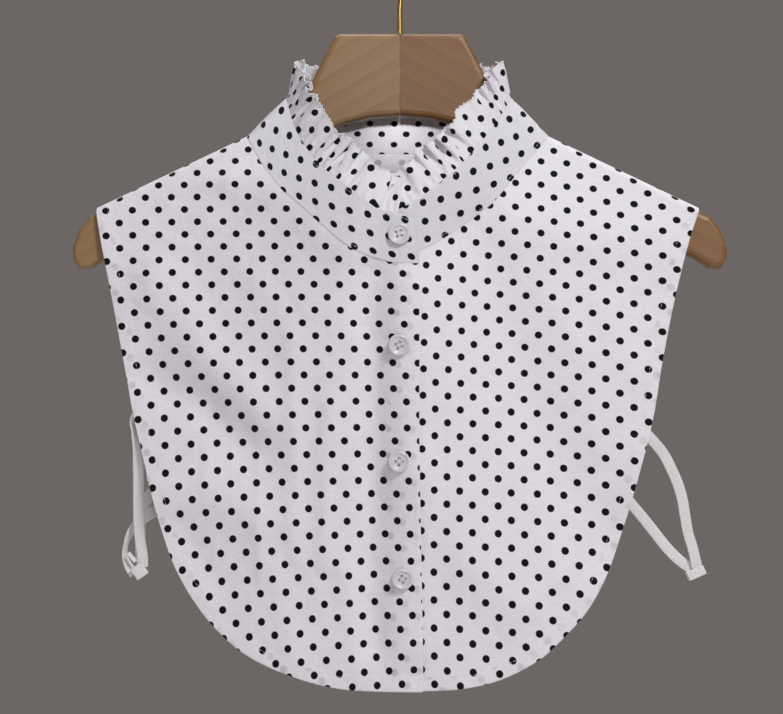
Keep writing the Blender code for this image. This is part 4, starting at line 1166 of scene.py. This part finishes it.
def turned_button(name):
    """A button turned about its upright axis, with four holes cut through."""
    shape = bmesh.new()
    outline = curve_at(np.array(BUTTON_OUTLINE) * MM, np.linspace(0, 1, 40))
    corners = [shape.verts.new((max(r, 0), 0, h)) for r, h in outline]
    sides = [shape.edges.new(pair) for pair in zip(corners[:-1], corners[1:])]
    bmesh.ops.spin(shape, geom=corners + sides, axis=(0, 0, 1), cent=(0, 0, 0), steps=56, angle=2 * math.pi)
    bmesh.ops.remove_doubles(shape, verts=shape.verts, dist=1e-6)
    bmesh.ops.recalc_face_normals(shape, faces=shape.faces)
    mesh = bpy.data.meshes.new(name)
    shape.to_mesh(mesh)
    shape.free()
    drills = bmesh.new()
    for across, up in ((-1, -1), (-1, 1), (1, -1), (1, 1)):
        place = Matrix.Translation((across * BUTTON_HOLE_OFFSET, up * BUTTON_HOLE_OFFSET, 1.5 * MM))
        bmesh.ops.create_cone(drills, cap_ends=True, segments=20, radius1=BUTTON_HOLE_RADIUS,
                              radius2=BUTTON_HOLE_RADIUS, depth=6 * MM, matrix=place)
    drill_mesh = bpy.data.meshes.new("button_drills")
    drills.to_mesh(drill_mesh)
    drills.free()
    blank = add_object("button_blank", mesh)
    cutter = add_object("button_drills", drill_mesh)
    cut = blank.modifiers.new("holes", "BOOLEAN")
    cut.operation = "DIFFERENCE"
    cut.solver = "EXACT"
    cut.object = cutter
    done = bpy.data.meshes.new_from_object(blank.evaluated_get(bpy.context.evaluated_depsgraph_get()))
    bpy.data.objects.remove(blank)
    bpy.data.objects.remove(cutter)
    done.shade_smooth()
    done.set_sharp_from_angle(angle=math.radians(50))
    return done


button_mesh = turned_button("shirt_button")
thread_paths = []
hole_paths = []
for number, (x_mm, z_mm) in enumerate(BUTTON_PLACES, 1):
    x = x_mm * MM
    z = z_mm * MM
    if number == 1:
        near = outer_band[:, :OVERLAP_STATIONS]
        gaps = np.hypot(near[..., 0] - x, near[..., 2] - z)
        face_depth = near[..., 1].ravel()[int(gaps.argmin())]
        lean = tops[BUTTON_STATION] - seams[BUTTON_STATION]
        slope = math.atan2(-lean[1], lean[2])
    else:
        near_depths = front_depth(np.array((x, x)), np.array((z - 4 * MM, z + 4 * MM)))
        face_depth = near_depths.mean() - FACING_PROUD
        slope = math.atan2(near_depths[0] - near_depths[1], 8 * MM)
    seat = Matrix.Translation((x + CLOTH_SHIFT, face_depth - BUTTON_SUNK, z))
    seat = seat @ Matrix.Rotation(math.radians(90) + slope, 4, "X") @ Matrix.Rotation(0.25 * number, 4, "Z")
    mesh = button_mesh.copy()
    mesh.transform(seat)
    button = add_object(f"shirt_button_{number}", mesh, resin)
    dress(button, f"button_{number}")
    for way in (1, -1):
        arc = []
        for t in np.linspace(-1, 1, 13):
            height = THREAD_CROWN - THREAD_DIP * max(abs(t) - 0.75, 0) * 4 * abs(t)
            arc.append(seat @ Vector((BUTTON_HOLE_OFFSET * t, way * BUTTON_HOLE_OFFSET * t, height)))
        thread_paths.append(np.array(arc))
    turns = np.linspace(0, 2 * np.pi, 60)
    hole_x = x + BUTTONHOLE_HALF_WIDTH * np.cos(turns)
    hole_z = z - BUTTONHOLE_DROP + BUTTONHOLE_HALF_HEIGHT * np.sin(turns)
    if number > 1:
        hole_depth = front_depth(hole_x, hole_z) - FACING_PROUD - 0.05 * MM
        hole_paths.append(depth_path(np.stack((hole_x, hole_z), 1), hole_depth))
stitched("buttonhole_stitches", hole_paths, 0.5 * MM, 1.0 * MM, 0.22 * MM)
stitched("button_threads", thread_paths, 0.4 * MM, 0.9 * MM, 0.24 * MM)


# Straps
# Flat woven elastic 6.4 mm wide, white, with fine lengthwise ribs and soft rounded edges. It is sewn under
# the edges of front and back, hangs in loose curves and is twisted where the strands come together.
STRAP_WIDTH = 6.4 * MM
TAIL_WIDTH = 2.6 * MM
STRAP_THICK = 1.0 * MM
SEWN_UNDER = 1.5 * MM
RIBBON_SIDES = 24
RIB_SPACING = 0.8 * MM
PICK_SPACING = 0.9 * MM
# columns: x, y, z, turn of the face in degrees; the first two rows lie under the cloth's edge
STRAP_RIGHT_FRONT = (
    (-146.5, 0, -298, 0), (-152, 0, -304, 0), (-156.2, -9.2, -310.5, 50), (-155.6, -9.2, -316, 58),
    (-154, -9.2, -324, 12), (-153.8, -8.4, -339, 0), (-154, -6.6, -355, 0), (-154.2, -4.6, -367.5, 0),
    (-154, -3, -375.5, 0), (-153.4, -1.6, -383, 4), (-152.4, -0.5, -391, 8), (-152.4, 0, -397.6, 8),
)
STRAP_RIGHT_BACK = (
    (-128, 0, -336, 0), (-136, 0, -342, 0), (-144.2, 8.2, -349.5, 0), (-149.8, 8, -356, 0),
    (-153.6, 7.8, -363.5, 0), (-154.6, 7.6, -372, 0), (-154.8, 6.8, -381, 4), (-154.2, 4.8, -389.5, 6),
    (-153.6, 3.6, -396.5, 6),
)
STRAP_RIGHT_SIDE = (
    (-122, 0, -352, 0), (-132, 0, -356.8, 0), (-142, 6.4, -362.4, 0), (-148.8, 4.8, -366.6, 0),
    (-154.8, 3.8, -371.2, 12), (-159.8, 3.4, -377.2, 50), (-162.6, 3, -384, 74), (-163.4, 2.6, -391, 72),
    (-161, 2.4, -397.6, 50), (-157.4, 2, -402.2, 14),
)
STRAP_RIGHT_TAIL = (
    (-160.6, -2.6, -389, 40), (-158.4, -2.6, -391.8, 30), (-156.2, -2.5, -394.2, 16),
)
STRAP_LEFT_FRONT = (
    (143, 0, -314.5, 0), (148.8, 0, -320.2, 0), (157, -9.8, -329.6, 0), (161.8, -8.6, -338.4, 0),
    (165.8, -7.4, -347.2, 0), (168.8, -6.2, -356.8, 0), (170.7, -4.8, -367, 4), (172.8, -3.2, -377.2, 8),
    (175.6, -1.6, -386, 8), (177.7, -0.5, -394, 6), (178.8, 0, -400, 0),
)
STRAP_LEFT_BACK = (
    (124, 0, -341, 0), (131.4, 0, -349.6, 0), (139.4, 7.6, -359.6, 0), (147.4, 6.6, -369.2, 0),
    (154.6, 5.2, -378.4, 0), (161.4, 3.6, -387, 0), (168.4, 2.2, -394, 0), (176, 1.4, -399.4, 0),
)

elastic, elastic_tree, elastic_shader = new_material("white woven elastic", Roughness=0.75, Sheen_Weight=0.1)
elastic_grain = add_node(elastic_tree, "ShaderNodeAttribute", attribute_name="grain").outputs["Vector"]
ribs = add_node(elastic_tree, "ShaderNodeVectorMath",
                {0: elastic_grain, 1: (2 * math.pi / RIB_SPACING, 2 * math.pi / PICK_SPACING, 0)},
                operation="MULTIPLY")
rib_parts = add_node(elastic_tree, "ShaderNodeSeparateXYZ", {"Vector": ribs})
rib_across = add_node(elastic_tree, "ShaderNodeMath", {0: rib_parts.outputs["X"]}, operation="SINE")
rib_along = add_node(elastic_tree, "ShaderNodeMath", {0: rib_parts.outputs["Y"]}, operation="SINE")
rib_height = add_node(elastic_tree, "ShaderNodeMath", {0: rib_along, 1: 0.5, 2: rib_across},
                      operation="MULTIPLY_ADD")
# The white elastic is painted darker in the hollows between its ribs, as shade, in step with the bump.
painted_rib_shade = add_node(elastic_tree, "ShaderNodeMapRange",
                     {"Value": rib_height, "From Min": -1.5, "From Max": 1.5})
elastic_with_painted_rib_shade = add_node(elastic_tree, "ShaderNodeMix",
                        {"Factor": painted_rib_shade, "A": linear("d0cdd0"), "B": linear("eceaee")}, data_type="RGBA")
rib_bump = add_node(elastic_tree, "ShaderNodeBump",
                    {"Height": rib_height, "Strength": 0.4, "Distance": 0.00012})
feed(elastic_tree, elastic_shader, {"Base Color": elastic_with_painted_rib_shade, "Normal": rib_bump})


def ribbon(name, path, wide_way, deep_way, width, thickness, squareness, node):
    """A flat strip of elastic with soft edges, its width and thickness in the given directions."""
    angles = np.linspace(0, 2 * np.pi, RIBBON_SIDES, endpoint=False)
    wide = np.sign(np.cos(angles)) * np.abs(np.cos(angles)) ** squareness * width / 2
    deep = np.sign(np.sin(angles)) * np.abs(np.sin(angles)) ** 0.7 * thickness / 2
    rings = path[:, None] + wide_way[:, None] * wide[None, :, None] + deep_way[:, None] * deep[None, :, None]
    index = np.arange(len(path) * RIBBON_SIDES).reshape(-1, RIBBON_SIDES)
    after = np.roll(index, -1, axis=1)
    faces = np.stack((index[:-1], after[:-1], after[1:], index[1:]), -1).reshape(-1, 4).tolist()
    faces += [index[0, ::-1].tolist(), index[-1].tolist()]
    mesh = bpy.data.meshes.new(name)
    mesh.from_pydata(rings.reshape(-1, 3).tolist(), [], faces)
    grain = np.zeros((len(path), RIBBON_SIDES, 3), np.float32)
    grain[..., 0] = wide[None]
    grain[..., 1] = length_along(path)[:, None]
    mesh.attributes.new("grain", "FLOAT_VECTOR", "POINT").data.foreach_set("vector", grain.ravel())
    face_outwards(mesh)
    mesh.shade_smooth()
    mesh.set_sharp_from_angle(angle=math.radians(60))
    dress(add_object(name, mesh, elastic), node)


def strap(name, table, width, sewn, node):
    """A strand of elastic whose face turns from the front by the angles in its table."""
    rows = np.array(table, float)
    places = rows[:, :3] * MM
    for k in (0, 1) if sewn else ():
        x = places[k:k + 1, 0]
        z = places[k:k + 1, 2]
        depth = front_depth(x, z) + SEWN_UNDER if sewn == "front" else back_depth(x, z) - SEWN_UNDER
        places[k, 1] = depth[0]
    spans = length_along(places)
    fractions = np.linspace(0, 1, 70)
    path = curve_at(places, fractions) + (CLOTH_SHIFT, 0, 0)
    turn = np.radians(np.interp(fractions * spans[-1], spans, rows[:, 3]))[:, None]
    front = np.array((0.0, -1.0, 0.0))
    tangents = unit(np.gradient(path, axis=0))
    facing = unit(front - tangents * (tangents @ front)[:, None])
    side = np.cross(tangents, facing)
    wide_way = side * np.cos(turn) + facing * np.sin(turn)
    deep_way = facing * np.cos(turn) - side * np.sin(turn)
    ribbon(name, path, wide_way, deep_way, width, STRAP_THICK, 0.45, node)


for name, table, width, sewn in (
        ("strap_right_front", STRAP_RIGHT_FRONT, STRAP_WIDTH, "front"),
        ("strap_right_back", STRAP_RIGHT_BACK, STRAP_WIDTH, "back"),
        ("strap_right_side", STRAP_RIGHT_SIDE, STRAP_WIDTH, "back"),
        ("strap_right_tail", STRAP_RIGHT_TAIL, TAIL_WIDTH, None),
        ("strap_left_front", STRAP_LEFT_FRONT, STRAP_WIDTH, "front"),
        ("strap_left_back", STRAP_LEFT_BACK, STRAP_WIDTH, "back")):
    strap(name + "_elastic", table, width, sewn, name)


# Knots
# The ends of the elastic are folded over each other into a small tilted tab on each side and sewn through, so
# each tab shows three layers with rounded folds.
FOLD_RADIUS = 0.45 * MM
TAB_LAYER = 0.48 * MM
TAB_END = 0.95 * MM
TAB_THICK = 0.84 * MM
TAB_STITCH_PROUD = 1.42 * MM
# columns: name, node, middle x, y, z, half length, half width, tilt in degrees
TABS = (
    ("tab_right", "knot_right", -154.0, -2.5, -400.0, 4.3, 3.9, 35),
    ("tab_left", "knot_left", 177.6, -2.3, -401.2, 5.8, 2.7, 24),
)

tab_stitches = []
for name, node, x_mm, y_mm, z_mm, half_length, half_width, tilt in TABS:
    inside = half_length * MM - 0.9 * MM
    bends = np.linspace(-np.pi / 2, np.pi / 2, 9)
    folded = [(-inside, -TAB_END)]
    for way in (1, -1):
        folded += [(way * (inside + FOLD_RADIUS * math.cos(a)), TAB_LAYER * (math.sin(a) - way))
                   for a in bends]
    folded += [(inside, TAB_END)]
    folded = np.array(folded)
    lean = math.radians(tilt)
    centre = np.array((x_mm, y_mm, z_mm)) * MM + (CLOTH_SHIFT, 0, 0)
    path = np.stack((folded[:, 0] * math.cos(lean), folded[:, 1], folded[:, 0] * math.sin(lean)), 1)
    wide = np.array((-math.sin(lean), 0, math.cos(lean)))
    wide_way = np.broadcast_to(wide, path.shape)
    deep_way = np.cross(unit(np.gradient(path, axis=0)), wide)
    ribbon(name, centre + path, wide_way, deep_way, 2 * half_width * MM, TAB_THICK, 0.4, node)
    long_way = np.array((math.cos(lean), 0, math.sin(lean)))
    for at in (-0.45, 0.45):
        start = centre + long_way * half_length * at * MM + (0, -TAB_STITCH_PROUD, 0)
        tab_stitches.append(start + wide * np.linspace(-0.8, 0.8, 12)[:, None] * half_width * MM)
stitched("tab_stitches", tab_stitches, 0.9 * MM, 0.8 * MM, 0.16 * MM)
